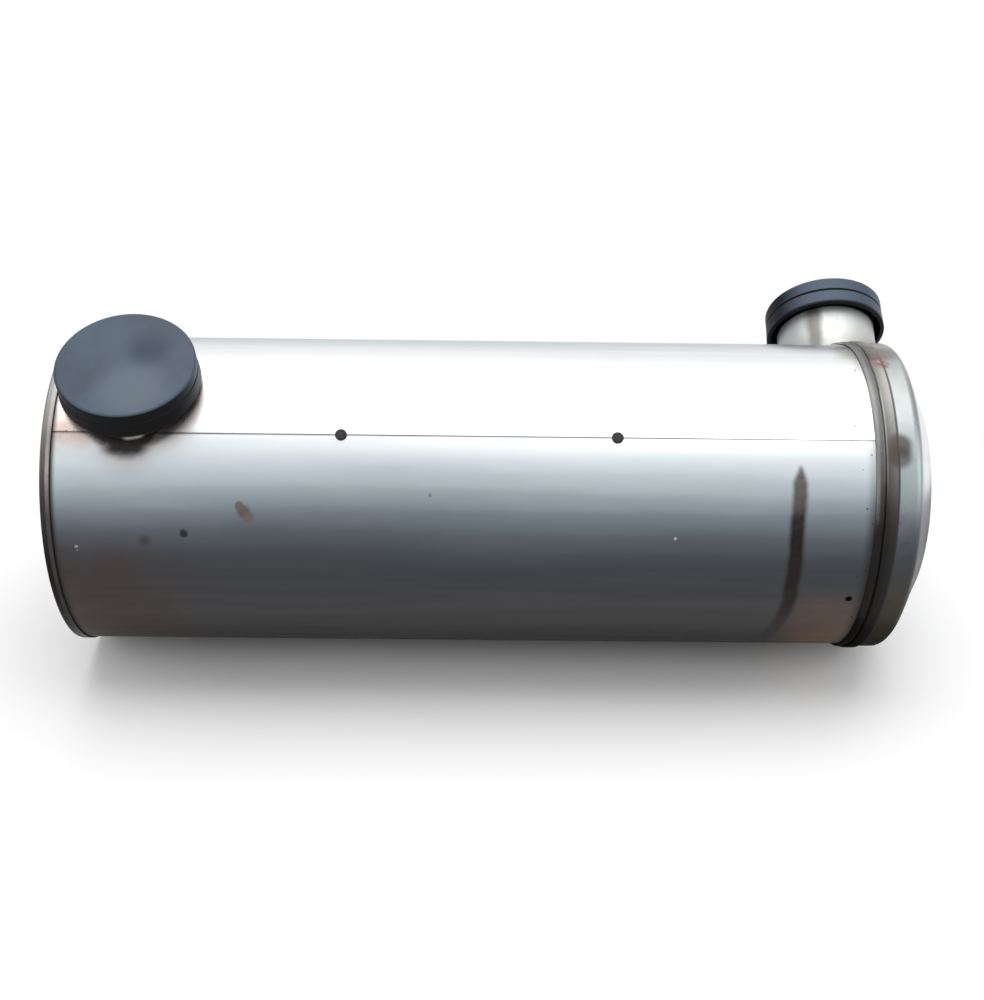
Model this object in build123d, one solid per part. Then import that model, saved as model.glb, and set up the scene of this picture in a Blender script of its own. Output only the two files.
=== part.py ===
from build123d import *
import math
import os

# Catalyst module of a truck exhaust: a horizontal round can with an inlet port and an outlet port.
# Frame: millimetres, +X along the can from the inlet end to the outlet end, +Z up, -Y to the front.
# The origin is on the can's axis, midway between the left lip's face and the end cover's hem.
# Angles about the can are degrees from the front, -Y, upwards to +Z.

# Catalyst bricks, the mats that hold them and the rings that guard the mats
BRICK_RADIUS = 152.4
BRICK_LENGTH = 152.4
BRICK_COUNT = 3
BRICK_GAP = 30.0
BRICK_EDGE = 2.0
MAT_THICKNESS = 5.5
MAT_SETBACK = 5.0
MAT_RING_SHEET = 1.2
MAT_RING_COVER = 6.0
MAT_RING_FLANGE = 8.0

# Shells, from the gas-tight inner can outwards to the rolled wrap
SLIP_FIT = 0.1
CAN_SHEET = 1.5
BLANKET_THICKNESS = 6.8
BLANKET_FIT = 0.4
WRAP_SHEET = 1.5
LAP_GAP = 0.2
LAP_WIDTH = 22.0
LAP_JOGGLE = 3.0
LAP_LINE = 0.8
LAP_NOTCH = 16.0
SEAM_ANGLE = 49.5
DRAIN_RADIUS = 2.5
DRAIN_SETBACK = 36.75
DRAIN_ANGLE = -10.0

# Left head, locked over the wrap's end, and the inner head behind it
HEAD_SHEET = 1.5
HEAD_LIP_WIDTH = 11.0
HEAD_RECESS = 8.0
HEAD_PANEL_WIDTH = 56.4
HEAD_CENTRE_RISE = 4.0
HEAD_CENTRE_SLOPE = 8.0
HEAD_BEND = 5.0
FOLD_BEND = 0.6
INNER_HEAD_INSET = 13.5
INNER_HEAD_FLANGE = 11.0
PAD_FIT = 0.3

# End cover: hemmed rim, skirt, sloped shoulder and raised centre
COVER_SHEET = 2.0
COVER_FIT = 0.5
HEM_WIDTH = 12.5
HEM_BEND = 1.4
SKIRT_REACH = 22.75
SHOULDER_INSET = 43.5
SHOULDER_DEPTH = 22.0
CENTRE_STEP = 5.0
CENTRE_STEP_IN = 7.0
CENTRE_LAND = 10.0
CROWN_RISE = 4.0
KNUCKLE_BEND = 7.0
STEP_BEND = 5.0
COVER_WELD_WIDTH = 9.5
COVER_WELD_HEIGHT = 3.4
COVER_WELD_DROP = 1.0
WRAP_TUCK = 3.0
CAN_FLARE_GAP = 2.0
CAN_FLARE_LENGTH = 5.0
CAN_FLARE_LAND = 5.0
FLARE_BEND = 2.0
BLANKET_STOP_LENGTH = 6.0

# Spacer rings that carry the wrap, and the rivets on the lap seam that hold it to them
FIRST_RIVET_SETBACK = 306.15
LAST_RIVET_SETBACK = 287.35
SPACER_WIDTH = 18.0
SPACER_SHEET = 1.2
RIVET_HEAD_RADIUS = 6.2
RIVET_HEAD_HEIGHT = 1.8
RIVET_HEAD_EDGE = 1.4
RIVET_SHANK_RADIUS = 3.0
RIVET_TAIL_RADIUS = 4.4
RIVET_TAIL_LENGTH = 1.6

# Ports: gaps beside the tubes along the can, angles about it, and how far the tubes stand out
TUBE_RADIUS = 57.15
TUBE_WALL = 2.0
TUBE_HOLE_FIT = 0.2
INLET_ANGLE = 68.0
INLET_HEAD_GAP = 5.6
INLET_PLATE_GAP = 11.85
INLET_CAP_GAP = 6.0
OUTLET_ANGLE = 148.5
OUTLET_PLATE_GAP = 78.85
OUTLET_SETBACK = 10.75
OUTLET_STAND = 82.0
PORT_WELD_WIDTH = 6.5
PORT_WELD_HEIGHT = 6.0
PORT_WELD_EDGE = 4.0
HEM_WELD_HEIGHT = 2.5
FLANGE_RISE = 7.85
FLANGE_LAND = 3.0
FLANGE_BACK = 9.0
FLANGE_NECK = 4.0
FLANGE_NECK_WALL = 2.2

# Push-on shipping caps
CAP_FIT = 0.3
INLET_CAP_HEIGHT = 29.5
INLET_CAP_WALL = 6.5
INLET_CAP_FLARE = 1.6
OUTLET_CAP_HEIGHT = 36.0
OUTLET_CAP_WALL = 3.6
OUTLET_CAP_FLARE = 0.8
CAP_TOP = 3.0
CAP_EDGE = 3.0
CAP_RIM_EDGE = 1.0
CAP_GROOVE_DEPTH = 1.0
CAP_GROOVE_WIDTH = 2.4
CAP_GROOVE_SHARE = 0.47

# Perforated pieces in the gas path
PLATE_SHEET = 2.0
PLATE_FLANGE = 12.0
PLATE_BEND = 4.0
PLATE_HOLE_RADIUS = 15.0
PLATE_HOLE_PITCH = 46.0
PLATE_HOLE_MARGIN = 12.0
FLOW_PLATE_TO_BRICK = 29.0
BRICK_TO_OUTLET_PLATE = 29.8
DIFFUSER_WALL = 1.5
DIFFUSER_SEAT = 12.0
DIFFUSER_FLOOR_GAP = 20.0
DIFFUSER_ROWS = 5
DIFFUSER_COLUMNS = 10
DIFFUSER_HOLE_RADIUS = 8.0
DIFFUSER_ROW_PITCH = 44.0
DIFFUSER_FIRST_ROW = 26.0

# How far a cutting shape reaches past what it cuts, and where an edge is sampled
CUT_OVER = 5.0
EDGE_SAMPLES = (0.0, 0.3, 0.6, 1.0)

# Radii worked out from the layers
MAT_RADIUS = BRICK_RADIUS + MAT_THICKNESS
CAN_BORE = MAT_RADIUS + SLIP_FIT
CAN_RADIUS = CAN_BORE + CAN_SHEET
BLANKET_BORE = CAN_RADIUS + SLIP_FIT
BLANKET_RADIUS = BLANKET_BORE + BLANKET_THICKNESS
LAP_BORE = BLANKET_RADIUS + BLANKET_FIT
LAP_RADIUS = LAP_BORE + WRAP_SHEET
WRAP_BORE = LAP_RADIUS + LAP_GAP
WRAP_RADIUS = WRAP_BORE + WRAP_SHEET
COVER_BORE = WRAP_RADIUS + COVER_FIT
COVER_RADIUS = COVER_BORE + COVER_SHEET
COVER_LAND = COVER_BORE - SLIP_FIT - CAN_SHEET
SHOULDER_RADIUS = COVER_BORE - SHOULDER_INSET
CROWN_RADIUS = SHOULDER_RADIUS - CENTRE_STEP_IN - CENTRE_LAND
HEAD_WALL = WRAP_BORE - SLIP_FIT
HEAD_CENTRE_RADIUS = HEAD_WALL - HEAD_PANEL_WIDTH - HEAD_CENTRE_SLOPE
DIFFUSER_DEPTH = CAN_BORE - DIFFUSER_FLOOR_GAP
TUBE_BORE = TUBE_RADIUS - TUBE_WALL
FLANGE_RADIUS = TUBE_RADIUS + FLANGE_RISE
CAP_BORE = FLANGE_RADIUS + CAP_FIT

# Reach of the port tubes' ends from the can's axis
INLET_REACH = WRAP_RADIUS + INLET_CAP_GAP + INLET_CAP_HEIGHT - CAP_TOP
OUTLET_REACH = WRAP_RADIUS + OUTLET_STAND

# Stretches of the can, which add up to its length from the left lip's face to the hem's end
HEAD_DEPTH = HEAD_RECESS + HEAD_SHEET + INNER_HEAD_INSET
INLET_CHAMBER = INLET_HEAD_GAP + 2 * TUBE_RADIUS + INLET_PLATE_GAP
BRICK_STRETCH = BRICK_COUNT * BRICK_LENGTH + (BRICK_COUNT - 1) * BRICK_GAP
PLATE_STRETCH = FLOW_PLATE_TO_BRICK + BRICK_STRETCH + BRICK_TO_OUTLET_PLATE
OUTLET_CHAMBER = OUTLET_PLATE_GAP + TUBE_RADIUS + OUTLET_SETBACK
BODY_LENGTH = HEAD_DEPTH + INLET_CHAMBER + PLATE_STRETCH + OUTLET_CHAMBER

# Stations along the can
LEFT_X = -BODY_LENGTH / 2
HEM_END_X = BODY_LENGTH / 2
HEM_X = HEM_END_X - HEM_WIDTH
COVER_WELD_X = HEM_X - COVER_WELD_WIDTH
HEAD_INSIDE_X = LEFT_X + HEAD_RECESS + HEAD_SHEET
CAN_START_X = HEAD_INSIDE_X + SLIP_FIT
INNER_HEAD_X = HEAD_INSIDE_X + INNER_HEAD_INSET
WRAP_START_X = LEFT_X + HEAD_SHEET + FOLD_BEND + SLIP_FIT
WRAP_END_X = HEM_END_X - WRAP_TUCK
FLARE_X = WRAP_END_X + CAN_FLARE_GAP
FLARE_END_X = FLARE_X + CAN_FLARE_LENGTH
CAN_END_X = FLARE_END_X + CAN_FLARE_LAND
SKIRT_END_X = HEM_END_X + SKIRT_REACH
SHOULDER_END_X = SKIRT_END_X + SHOULDER_DEPTH
COVER_TIP_X = SHOULDER_END_X + CENTRE_STEP + CROWN_RISE
BLANKET_STOP_X = WRAP_END_X - BLANKET_STOP_LENGTH
INLET_X = INNER_HEAD_X + INLET_HEAD_GAP + TUBE_RADIUS
FLOW_PLATE_X = INNER_HEAD_X + INLET_CHAMBER
OUTLET_PLATE_X = FLOW_PLATE_X + PLATE_STRETCH
OUTLET_X = HEM_END_X - OUTLET_SETBACK
DRAIN_X = HEM_END_X - DRAIN_SETBACK
RIVET_X = (LEFT_X + FIRST_RIVET_SETBACK, HEM_END_X - LAST_RIVET_SETBACK)
FIRST_BRICK_X = FLOW_PLATE_X + FLOW_PLATE_TO_BRICK
BRICK_FRONTS = [FIRST_BRICK_X + i * (BRICK_LENGTH + BRICK_GAP) for i in range(BRICK_COUNT)]


def around(angle, radius):
    """The point (Y, Z) at an angle about the can and a distance from its axis."""
    return (-radius * math.cos(math.radians(angle)), radius * math.sin(math.radians(angle)))


def radial_plane(x, angle):
    """The plane on the can's axis at x whose normal points outwards at the angle."""
    y, z = around(angle, 1.0)
    return Plane(origin=(x, 0, 0), x_dir=(1, 0, 0), z_dir=(0, y, z))


def turned(*outline):
    """A solid turned about the can's axis from an outline of (x, radius) points."""
    return revolve(make_face(Polyline(*outline, close=True)), Axis.X, 360)


def ring(x_start, x_end, bore, radius):
    """A plain ring about the can's axis."""
    return turned((x_start, bore), (x_end, bore), (x_end, radius), (x_start, radius))


def disc(x_start, x_end, radius):
    """A plain disc about the can's axis."""
    return turned((x_start, 0), (x_end, 0), (x_end, radius), (x_start, radius))


def spun_sheet(path, sheet, side):
    """A sheet of even thickness, spun about the can's axis from one face's path."""
    section = Wire(path.edges()).offset_2d(sheet, side=side, closed=True)
    return revolve(make_face(section.edges()), Axis.X, 360)


def bar(radius, low, high):
    """A round bar along local Z from low to high."""
    return Pos(0, 0, low) * Cylinder(radius, high - low, align=(Align.CENTER, Align.CENTER, Align.MIN))


def tube(bore, radius, low, high):
    """A round tube along local Z from low to high."""
    return bar(radius, low, high) - bar(bore, low - CUT_OVER, high + CUT_OVER)


def port_plane(port):
    """The plane of a port, with Z out of the can along the tube's axis."""
    x, angle, _ = port
    return radial_plane(x, angle)


INLET = (INLET_X, INLET_ANGLE, INLET_REACH)
OUTLET = (OUTLET_X, OUTLET_ANGLE, OUTLET_REACH)


def port_holes(*ports):
    """Round bars that cut the openings for the port tubes, with their fit."""
    bars = [port_plane(p).location * bar(TUBE_RADIUS + TUBE_HOLE_FIT, 0, p[2]) for p in ports]
    return bars[0] if len(bars) == 1 else bars[0] + bars[1]


def arc_strip(bore, radius, start, end):
    """A strip of an annulus in the (Y, Z) plane between two angles."""
    middle = (start + end) / 2
    outer = ThreePointArc(around(start, radius), around(middle, radius), around(end, radius))
    inner = ThreePointArc(around(start, bore), around(middle, bore), around(end, bore))
    sides = [Line(around(a, bore), around(a, radius)) for a in (start, end)]
    return make_face([outer, inner, *sides])


def arc_degrees(length):
    """The angle that a length takes on the wrap."""
    return math.degrees(length / WRAP_RADIUS)


def rivet_places():
    """The planes of the seam's rivets, on the lap's edge."""
    angle = SEAM_ANGLE - arc_degrees(LAP_LINE / 2)
    return [radial_plane(x, angle) for x in RIVET_X]


def outer_wrap():
    """Rolled sheet whose one edge is joggled in and tucked under the other, with ports and drain."""
    line = arc_degrees(LAP_LINE)
    joggle = arc_degrees(LAP_JOGGLE)
    lap = arc_degrees(LAP_WIDTH)
    body = arc_strip(WRAP_BORE, WRAP_RADIUS, SEAM_ANGLE, SEAM_ANGLE + 360 - line)
    tuck = arc_strip(LAP_BORE, LAP_RADIUS, SEAM_ANGLE - line / 2, SEAM_ANGLE + lap)
    step = make_face(Polyline(
        around(SEAM_ANGLE - line - joggle, WRAP_BORE),
        around(SEAM_ANGLE - line, WRAP_RADIUS),
        around(SEAM_ANGLE, LAP_RADIUS),
        around(SEAM_ANGLE - line / 2, LAP_BORE),
        close=True,
    ))
    length = WRAP_END_X - WRAP_START_X
    wrap = Pos(WRAP_START_X, 0, 0) * extrude(Plane.YZ * body, length)
    lap_start = WRAP_START_X + LAP_NOTCH
    strip = extrude(Plane.YZ * (tuck + step), COVER_WELD_X - LAP_NOTCH - lap_start)
    wrap += Pos(lap_start, 0, 0) * strip
    wrap -= port_holes(INLET, OUTLET)
    for place in rivet_places():
        wrap -= place.location * bar(RIVET_SHANK_RADIUS + SLIP_FIT, 0, WRAP_RADIUS + CUT_OVER)
    drain = radial_plane(DRAIN_X, DRAIN_ANGLE).location
    return wrap - drain * bar(DRAIN_RADIUS, BLANKET_RADIUS, WRAP_RADIUS + CUT_OVER)


def seam_rivets():
    """Two low round-headed rivets that pin the lap's edge to the spacer rings' webs."""
    web_inside = LAP_BORE - SLIP_FIT - SPACER_SHEET
    shank = bar(RIVET_SHANK_RADIUS, web_inside - RIVET_TAIL_LENGTH, WRAP_RADIUS + RIVET_HEAD_HEIGHT)
    head = bar(RIVET_HEAD_RADIUS, WRAP_RADIUS, WRAP_RADIUS + RIVET_HEAD_HEIGHT)
    head = fillet(head.edges().sort_by(Axis.Z)[-1], RIVET_HEAD_EDGE)
    tail = bar(RIVET_TAIL_RADIUS, web_inside - RIVET_TAIL_LENGTH, web_inside - SLIP_FIT)
    rivet = shank + head + tail
    return Compound([place.location * rivet for place in rivet_places()])


def spacer_ring(x):
    """A channel-section ring on the inner can, with its web under the wrap's lap."""
    half = SPACER_WIDTH / 2
    top = LAP_BORE - SLIP_FIT
    outer = ring(x - half, x + half, BLANKET_BORE, top)
    inside = half - SPACER_SHEET
    hollow = ring(x - inside, x + inside, BLANKET_BORE - CUT_OVER, top - SPACER_SHEET)
    channel = outer - hollow
    for place in rivet_places():
        channel -= place.location * bar(RIVET_SHANK_RADIUS + SLIP_FIT, 0, WRAP_RADIUS)
    return channel


def left_head():
    """Stamped head: raised centre, recessed panel, and a lip locked over the wrap's end."""
    lip_bore = WRAP_RADIUS + SLIP_FIT
    path = FilletPolyline(
        (HEAD_INSIDE_X - HEAD_CENTRE_RISE, 0),
        (HEAD_INSIDE_X - HEAD_CENTRE_RISE, HEAD_CENTRE_RADIUS),
        (HEAD_INSIDE_X, HEAD_CENTRE_RADIUS + HEAD_CENTRE_SLOPE),
        (HEAD_INSIDE_X, HEAD_WALL),
        (LEFT_X + HEAD_SHEET, HEAD_WALL),
        (LEFT_X + HEAD_SHEET, lip_bore),
        (LEFT_X + HEAD_LIP_WIDTH, lip_bore),
        radius=[HEAD_BEND, HEAD_BEND, HEAD_SHEET + FOLD_BEND, FOLD_BEND, FOLD_BEND],
    )
    return spun_sheet(path, HEAD_SHEET, Side.LEFT)


def inner_head():
    """Flanged disc that closes the inner can's left end."""
    flange = CAN_BORE - SLIP_FIT
    path = FilletPolyline(
        (INNER_HEAD_X - INNER_HEAD_FLANGE, flange), (INNER_HEAD_X, flange), (INNER_HEAD_X, 0),
        radius=[PLATE_BEND],
    )
    return spun_sheet(path, CAN_SHEET, Side.RIGHT)


def head_pad():
    """Fibre disc between the two left heads."""
    radius = CAN_BORE - SLIP_FIT - CAN_SHEET - PLATE_BEND
    return disc(HEAD_INSIDE_X + PAD_FIT, INNER_HEAD_X - CAN_SHEET - PAD_FIT, radius)


def inner_can():
    """Gas-tight can, flared at its right end to lie in the end cover."""
    path = FilletPolyline(
        (CAN_START_X, CAN_BORE), (FLARE_X, CAN_BORE), (FLARE_END_X, COVER_LAND), (CAN_END_X, COVER_LAND),
        radius=[FLARE_BEND, FLARE_BEND],
    )
    return spun_sheet(path, CAN_SHEET, Side.LEFT) - port_holes(INLET, OUTLET)


def cover_path():
    """The inside face of the end cover, from its rim to the axis."""
    edge_x = COVER_TIP_X - CROWN_RISE
    slope = 2 * CROWN_RISE / CROWN_RADIUS
    side = FilletPolyline(
        (HEM_X, COVER_BORE),
        (SKIRT_END_X, COVER_BORE),
        (SHOULDER_END_X, SHOULDER_RADIUS),
        (edge_x - slope * CENTRE_LAND, CROWN_RADIUS + CENTRE_LAND),
        (edge_x, CROWN_RADIUS),
        radius=[KNUCKLE_BEND, STEP_BEND, STEP_BEND],
    )
    arc_radius = (CROWN_RADIUS ** 2 + CROWN_RISE ** 2) / (2 * CROWN_RISE)
    middle = CROWN_RADIUS / 2
    sag = arc_radius - math.sqrt(arc_radius ** 2 - middle ** 2)
    crown = ThreePointArc(
        (edge_x, CROWN_RADIUS), (edge_x + CROWN_RISE - sag, middle), (edge_x + CROWN_RISE, 0)
    )
    return side + crown


def cover_inside():
    """The room that the end cover encloses, filled."""
    closing = Polyline((COVER_TIP_X, 0), (HEM_X, 0), (HEM_X, COVER_BORE))
    return revolve(make_face([*cover_path().edges(), *closing.edges()]), Axis.X, 360)


def end_cover():
    """Stamped cover: hemmed rim, skirt, sloped shoulder and raised centre, cut for the outlet."""
    cover = spun_sheet(cover_path(), COVER_SHEET, Side.LEFT)
    hem = ring(HEM_X, HEM_END_X, COVER_BORE, COVER_RADIUS + COVER_SHEET)
    rim = hem.edges().filter_by(GeomType.CIRCLE).sort_by(SortBy.RADIUS)[-2:]
    hem = fillet(rim, HEM_BEND)
    return cover + hem - port_holes(OUTLET)


def cover_weld_ring():
    """Low ring of weld metal between the wrap and the cover's hem, cut for the outlet tube."""
    low = WRAP_RADIUS + SLIP_FIT
    top = WRAP_RADIUS + COVER_WELD_HEIGHT
    end = HEM_X - SLIP_FIT
    toe = (COVER_WELD_X, low)
    shoulder = (end, top - COVER_WELD_DROP)
    crown = ThreePointArc(toe, ((COVER_WELD_X + HEM_X) / 2, top), shoulder)
    back = Polyline(shoulder, (end, low), toe)
    return revolve(make_face([crown, *back.edges()]), Axis.X, 360) - port_holes(OUTLET)


def blanket(x_start, x_end):
    """Fibre blanket between the inner can and the wrap, cut round the port tubes."""
    return ring(x_start, x_end, BLANKET_BORE, BLANKET_RADIUS) - port_holes(INLET, OUTLET)


def blanket_spans():
    """The stretches of blanket between the left head, the spacer rings and the stop ring."""
    half = SPACER_WIDTH / 2 + PAD_FIT
    marks = [HEAD_INSIDE_X + HEAD_BEND]
    for x in RIVET_X:
        marks += [x - half, x + half]
    marks.append(BLANKET_STOP_X - PAD_FIT)
    return list(zip(marks[0::2], marks[1::2]))


def blanket_stop():
    """Ring that closes the right end of the space between the inner can and the wrap."""
    stop = ring(BLANKET_STOP_X, WRAP_END_X, BLANKET_BORE, HEAD_WALL)
    return stop - port_holes(OUTLET)


def gas_space():
    """The room inside the inner can and the end cover, which trims the port tubes."""
    can = disc(INNER_HEAD_X, CAN_END_X, CAN_BORE)
    flare = turned(
        (FLARE_X, 0), (CAN_END_X, 0), (CAN_END_X, COVER_LAND), (FLARE_END_X, COVER_LAND), (FLARE_X, CAN_BORE)
    )
    return can + flare + (cover_inside() & disc(CAN_END_X, COVER_TIP_X + CUT_OVER, COVER_BORE))


def port_tube(port):
    """Port tube, saddle-cut to end flush with the inside of the can and the cover."""
    pipe = port_plane(port).location * tube(TUBE_BORE, TUBE_RADIUS, 0, port[2])
    return pipe - gas_space()


def bead_block(port, skin):
    """A thick sleeve about a port tube, trimmed to a skin above the body."""
    sleeve = tube(TUBE_RADIUS + SLIP_FIT, TUBE_RADIUS + PORT_WELD_WIDTH, 0, port[2])
    return (port_plane(port).location * sleeve) & skin


def outside_bead(port, edge):
    """Whether an edge runs round the bead's outer side, away from the can's axis."""
    ends = [port_plane(port).to_local_coords(edge @ share) for share in EDGE_SAMPLES]
    return all(math.hypot(p.X, p.Y) > TUBE_RADIUS + PORT_WELD_WIDTH / 2 and p.Z > 0 for p in ends)


def inlet_weld():
    """Round-edged weld bead that follows the inlet tube's saddle on the wrap."""
    block = bead_block(INLET, disc(LEFT_X, 0, WRAP_RADIUS + PORT_WELD_HEIGHT))
    crests = block.edges().filter_by(lambda e: outside_bead(INLET, e))
    return fillet(crests, PORT_WELD_EDGE) - disc(LEFT_X - CUT_OVER, CUT_OVER, WRAP_RADIUS + SLIP_FIT)


def outlet_weld():
    """Weld bead that follows the outlet tube's saddle over the wrap, the hem and the shoulder."""
    top = COVER_RADIUS + COVER_SHEET + HEM_WELD_HEIGHT
    rise = COVER_SHEET + HEM_WELD_HEIGHT
    skin = turned(
        (0, 0), (0, top), (SKIRT_END_X + rise, top), (SHOULDER_END_X + rise, SHOULDER_RADIUS + rise),
        (SHOULDER_END_X + rise, 0),
    )
    covered = spun_sheet(cover_path(), COVER_SHEET + SLIP_FIT, Side.LEFT) + cover_inside()
    barrel = disc(-CUT_OVER, HEM_X, WRAP_RADIUS + SLIP_FIT)
    weld = disc(COVER_WELD_X, HEM_X, WRAP_RADIUS + COVER_WELD_HEIGHT + SLIP_FIT)
    hem = disc(HEM_X - SLIP_FIT, HEM_END_X + SLIP_FIT, COVER_RADIUS + COVER_SHEET + SLIP_FIT)
    return bead_block(OUTLET, skin) - (covered + barrel + weld + hem)


def port_flange(port):
    """Clamp flange on the tube's end: flat face outside, sloped back for the clamp."""
    neck = TUBE_RADIUS + SLIP_FIT
    z = port[2]
    section = make_face(Polyline(
        (neck, z), (FLANGE_RADIUS, z), (FLANGE_RADIUS, z - FLANGE_LAND),
        (neck + FLANGE_NECK_WALL, z - FLANGE_BACK),
        (neck + FLANGE_NECK_WALL, z - FLANGE_BACK - FLANGE_NECK),
        (neck, z - FLANGE_BACK - FLANGE_NECK),
        close=True,
    ))
    return port_plane(port).location * revolve(Plane.XZ * section, Axis.Z, 360)


def port_cap(port, height, wall, flare):
    """Push-on cap: flat top with a rounded edge, a groove, and a skirt that flares below it."""
    radius = CAP_BORE + wall
    top = port[2] + CAP_TOP
    base = top - height
    z = top - CAP_GROOVE_SHARE * height
    cap = bar(radius, z, top) + Pos(0, 0, base) * Cone(
        radius + flare, radius, z - base, align=(Align.CENTER, Align.CENTER, Align.MIN)
    )
    cap = fillet(cap.edges().sort_by(Axis.Z)[-1], CAP_EDGE)
    cap = fillet(cap.edges().sort_by(Axis.Z)[0], CAP_RIM_EDGE)
    cap -= bar(CAP_BORE, base - CUT_OVER, port[2])
    half = CAP_GROOVE_WIDTH / 2
    groove = make_face(Polyline(
        (radius - CAP_GROOVE_DEPTH, z), (radius, z + half), (radius + CUT_OVER, z + half),
        (radius + CUT_OVER, z - half), (radius, z - half),
        close=True,
    ))
    cap -= revolve(Plane.XZ * groove, Axis.Z, 360)
    return port_plane(port).location * cap


def inlet_diffuser():
    """Perforated sleeve from the inlet tube across the chamber, closed at its far end."""
    radius = TUBE_BORE - TUBE_HOLE_FIT
    top = CAN_BORE + DIFFUSER_SEAT
    sleeve = tube(radius - DIFFUSER_WALL, radius, -DIFFUSER_DEPTH, top)
    sleeve += bar(radius, -DIFFUSER_DEPTH, -DIFFUSER_DEPTH + DIFFUSER_WALL)
    drill = Cylinder(DIFFUSER_HOLE_RADIUS, 2 * (radius + CUT_OVER), rotation=(0, 90, 0))
    for row in range(DIFFUSER_ROWS):
        z = -DIFFUSER_DEPTH + DIFFUSER_FIRST_ROW + row * DIFFUSER_ROW_PITCH
        for column in range(DIFFUSER_COLUMNS // 2):
            turn = (column + 0.5 * (row % 2)) * 360 / DIFFUSER_COLUMNS
            sleeve -= Pos(0, 0, z) * Rot(0, 0, turn) * drill
    return port_plane(INLET).location * sleeve


def perforated_plate(x):
    """Flanged plate across the inner can, with a hexagonal field of round holes."""
    flange = CAN_BORE - SLIP_FIT
    path = FilletPolyline((x + PLATE_FLANGE, flange), (x, flange), (x, 0), radius=[PLATE_BEND])
    plate = spun_sheet(path, PLATE_SHEET, Side.LEFT)
    drill = Cylinder(PLATE_HOLE_RADIUS, PLATE_SHEET + 2 * CUT_OVER, rotation=(0, 90, 0))
    limit = flange - PLATE_SHEET - PLATE_HOLE_MARGIN - PLATE_HOLE_RADIUS
    rows = int(limit / (PLATE_HOLE_PITCH * math.sqrt(3) / 2))
    for row in range(-rows, rows + 1):
        z = row * PLATE_HOLE_PITCH * math.sqrt(3) / 2
        shift = PLATE_HOLE_PITCH / 2 if row % 2 else 0.0
        for column in range(-rows - 1, rows + 2):
            y = column * PLATE_HOLE_PITCH + shift
            if math.hypot(y, z) <= limit:
                plate -= Pos(x, y, z) * drill
    return plate


def brick(x):
    """One ceramic honeycomb brick."""
    body = disc(x, x + BRICK_LENGTH, BRICK_RADIUS)
    return chamfer(body.edges().filter_by(GeomType.CIRCLE), BRICK_EDGE)


def mat(x):
    """The fibre mat wrapped round one brick, set back from its end faces."""
    return ring(x + MAT_SETBACK, x + BRICK_LENGTH - MAT_SETBACK, BRICK_RADIUS + SLIP_FIT, MAT_RADIUS)


def mat_ring(face_x, away):
    """L-section ring against a brick's end face; away is the side that its flange points to."""
    low = BRICK_RADIUS - MAT_RING_COVER
    high = CAN_BORE - SLIP_FIT
    near = face_x + away * SLIP_FIT
    web = ring(*sorted((near, near + away * MAT_RING_SHEET)), low, high)
    flange = ring(*sorted((near, near + away * MAT_RING_FLANGE)), high - MAT_RING_SHEET, high)
    return web + flange


def build_nodes():
    """Every sub-part by name."""
    nodes = {
        "outer_wrap": outer_wrap(),
        "seam_rivets": seam_rivets(),
        "left_head": left_head(),
        "inner_head": inner_head(),
        "head_pad": head_pad(),
        "inner_can": inner_can(),
        "end_cover": end_cover(),
        "cover_weld_ring": cover_weld_ring(),
        "blanket_stop": blanket_stop(),
        "inlet_tube": port_tube(INLET),
        "outlet_tube": port_tube(OUTLET),
        "inlet_weld": inlet_weld(),
        "outlet_weld": outlet_weld(),
        "inlet_flange": port_flange(INLET),
        "outlet_flange": port_flange(OUTLET),
        "inlet_cap": port_cap(INLET, INLET_CAP_HEIGHT, INLET_CAP_WALL, INLET_CAP_FLARE),
        "outlet_cap": port_cap(OUTLET, OUTLET_CAP_HEIGHT, OUTLET_CAP_WALL, OUTLET_CAP_FLARE),
        "inlet_diffuser": inlet_diffuser(),
        "flow_plate": perforated_plate(FLOW_PLATE_X),
        "outlet_plate": perforated_plate(OUTLET_PLATE_X),
    }
    for i, x in enumerate(RIVET_X, 1):
        nodes[f"spacer_ring_{i}"] = spacer_ring(x)
    for i, (start, end) in enumerate(blanket_spans(), 1):
        nodes[f"blanket_{i}"] = blanket(start, end)
    for i, x in enumerate(BRICK_FRONTS, 1):
        nodes[f"brick_{i}"] = brick(x)
        nodes[f"mat_{i}"] = mat(x)
        nodes[f"mat_ring_{i}_front"] = mat_ring(x, -1)
        nodes[f"mat_ring_{i}_rear"] = mat_ring(x + BRICK_LENGTH, 1)
    return nodes


os.makedirs("parts", exist_ok=True)
for name, shape in build_nodes().items():
    export_step(shape, f"parts/{name}.step")
    box = shape.bounding_box()
    print(f"{name}: {len(shape.solids())} solids, {shape.volume:.0f} mm3, "
          f"{box.size.X:.1f} x {box.size.Y:.1f} x {box.size.Z:.1f} mm")
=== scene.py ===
# %% [markdown]
# # A used exhaust catalyst can, dressed for a studio picture
# The steel shells, tubes, caps and inner pieces already exist as exact solids. This lesson gives
# them their finishes and adds what only years of heat and a welder's torch leave behind: rippled
# weld beads, tints, grime and scuffs. Everything is in metres. X runs along the can from the inlet
# to the outlet, Z is up and -Y faces the camera.

# %% Load the fixed frame
import math
import random

import bpy
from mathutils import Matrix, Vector, noise
from mathutils.bvhtree import BVHTree


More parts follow.
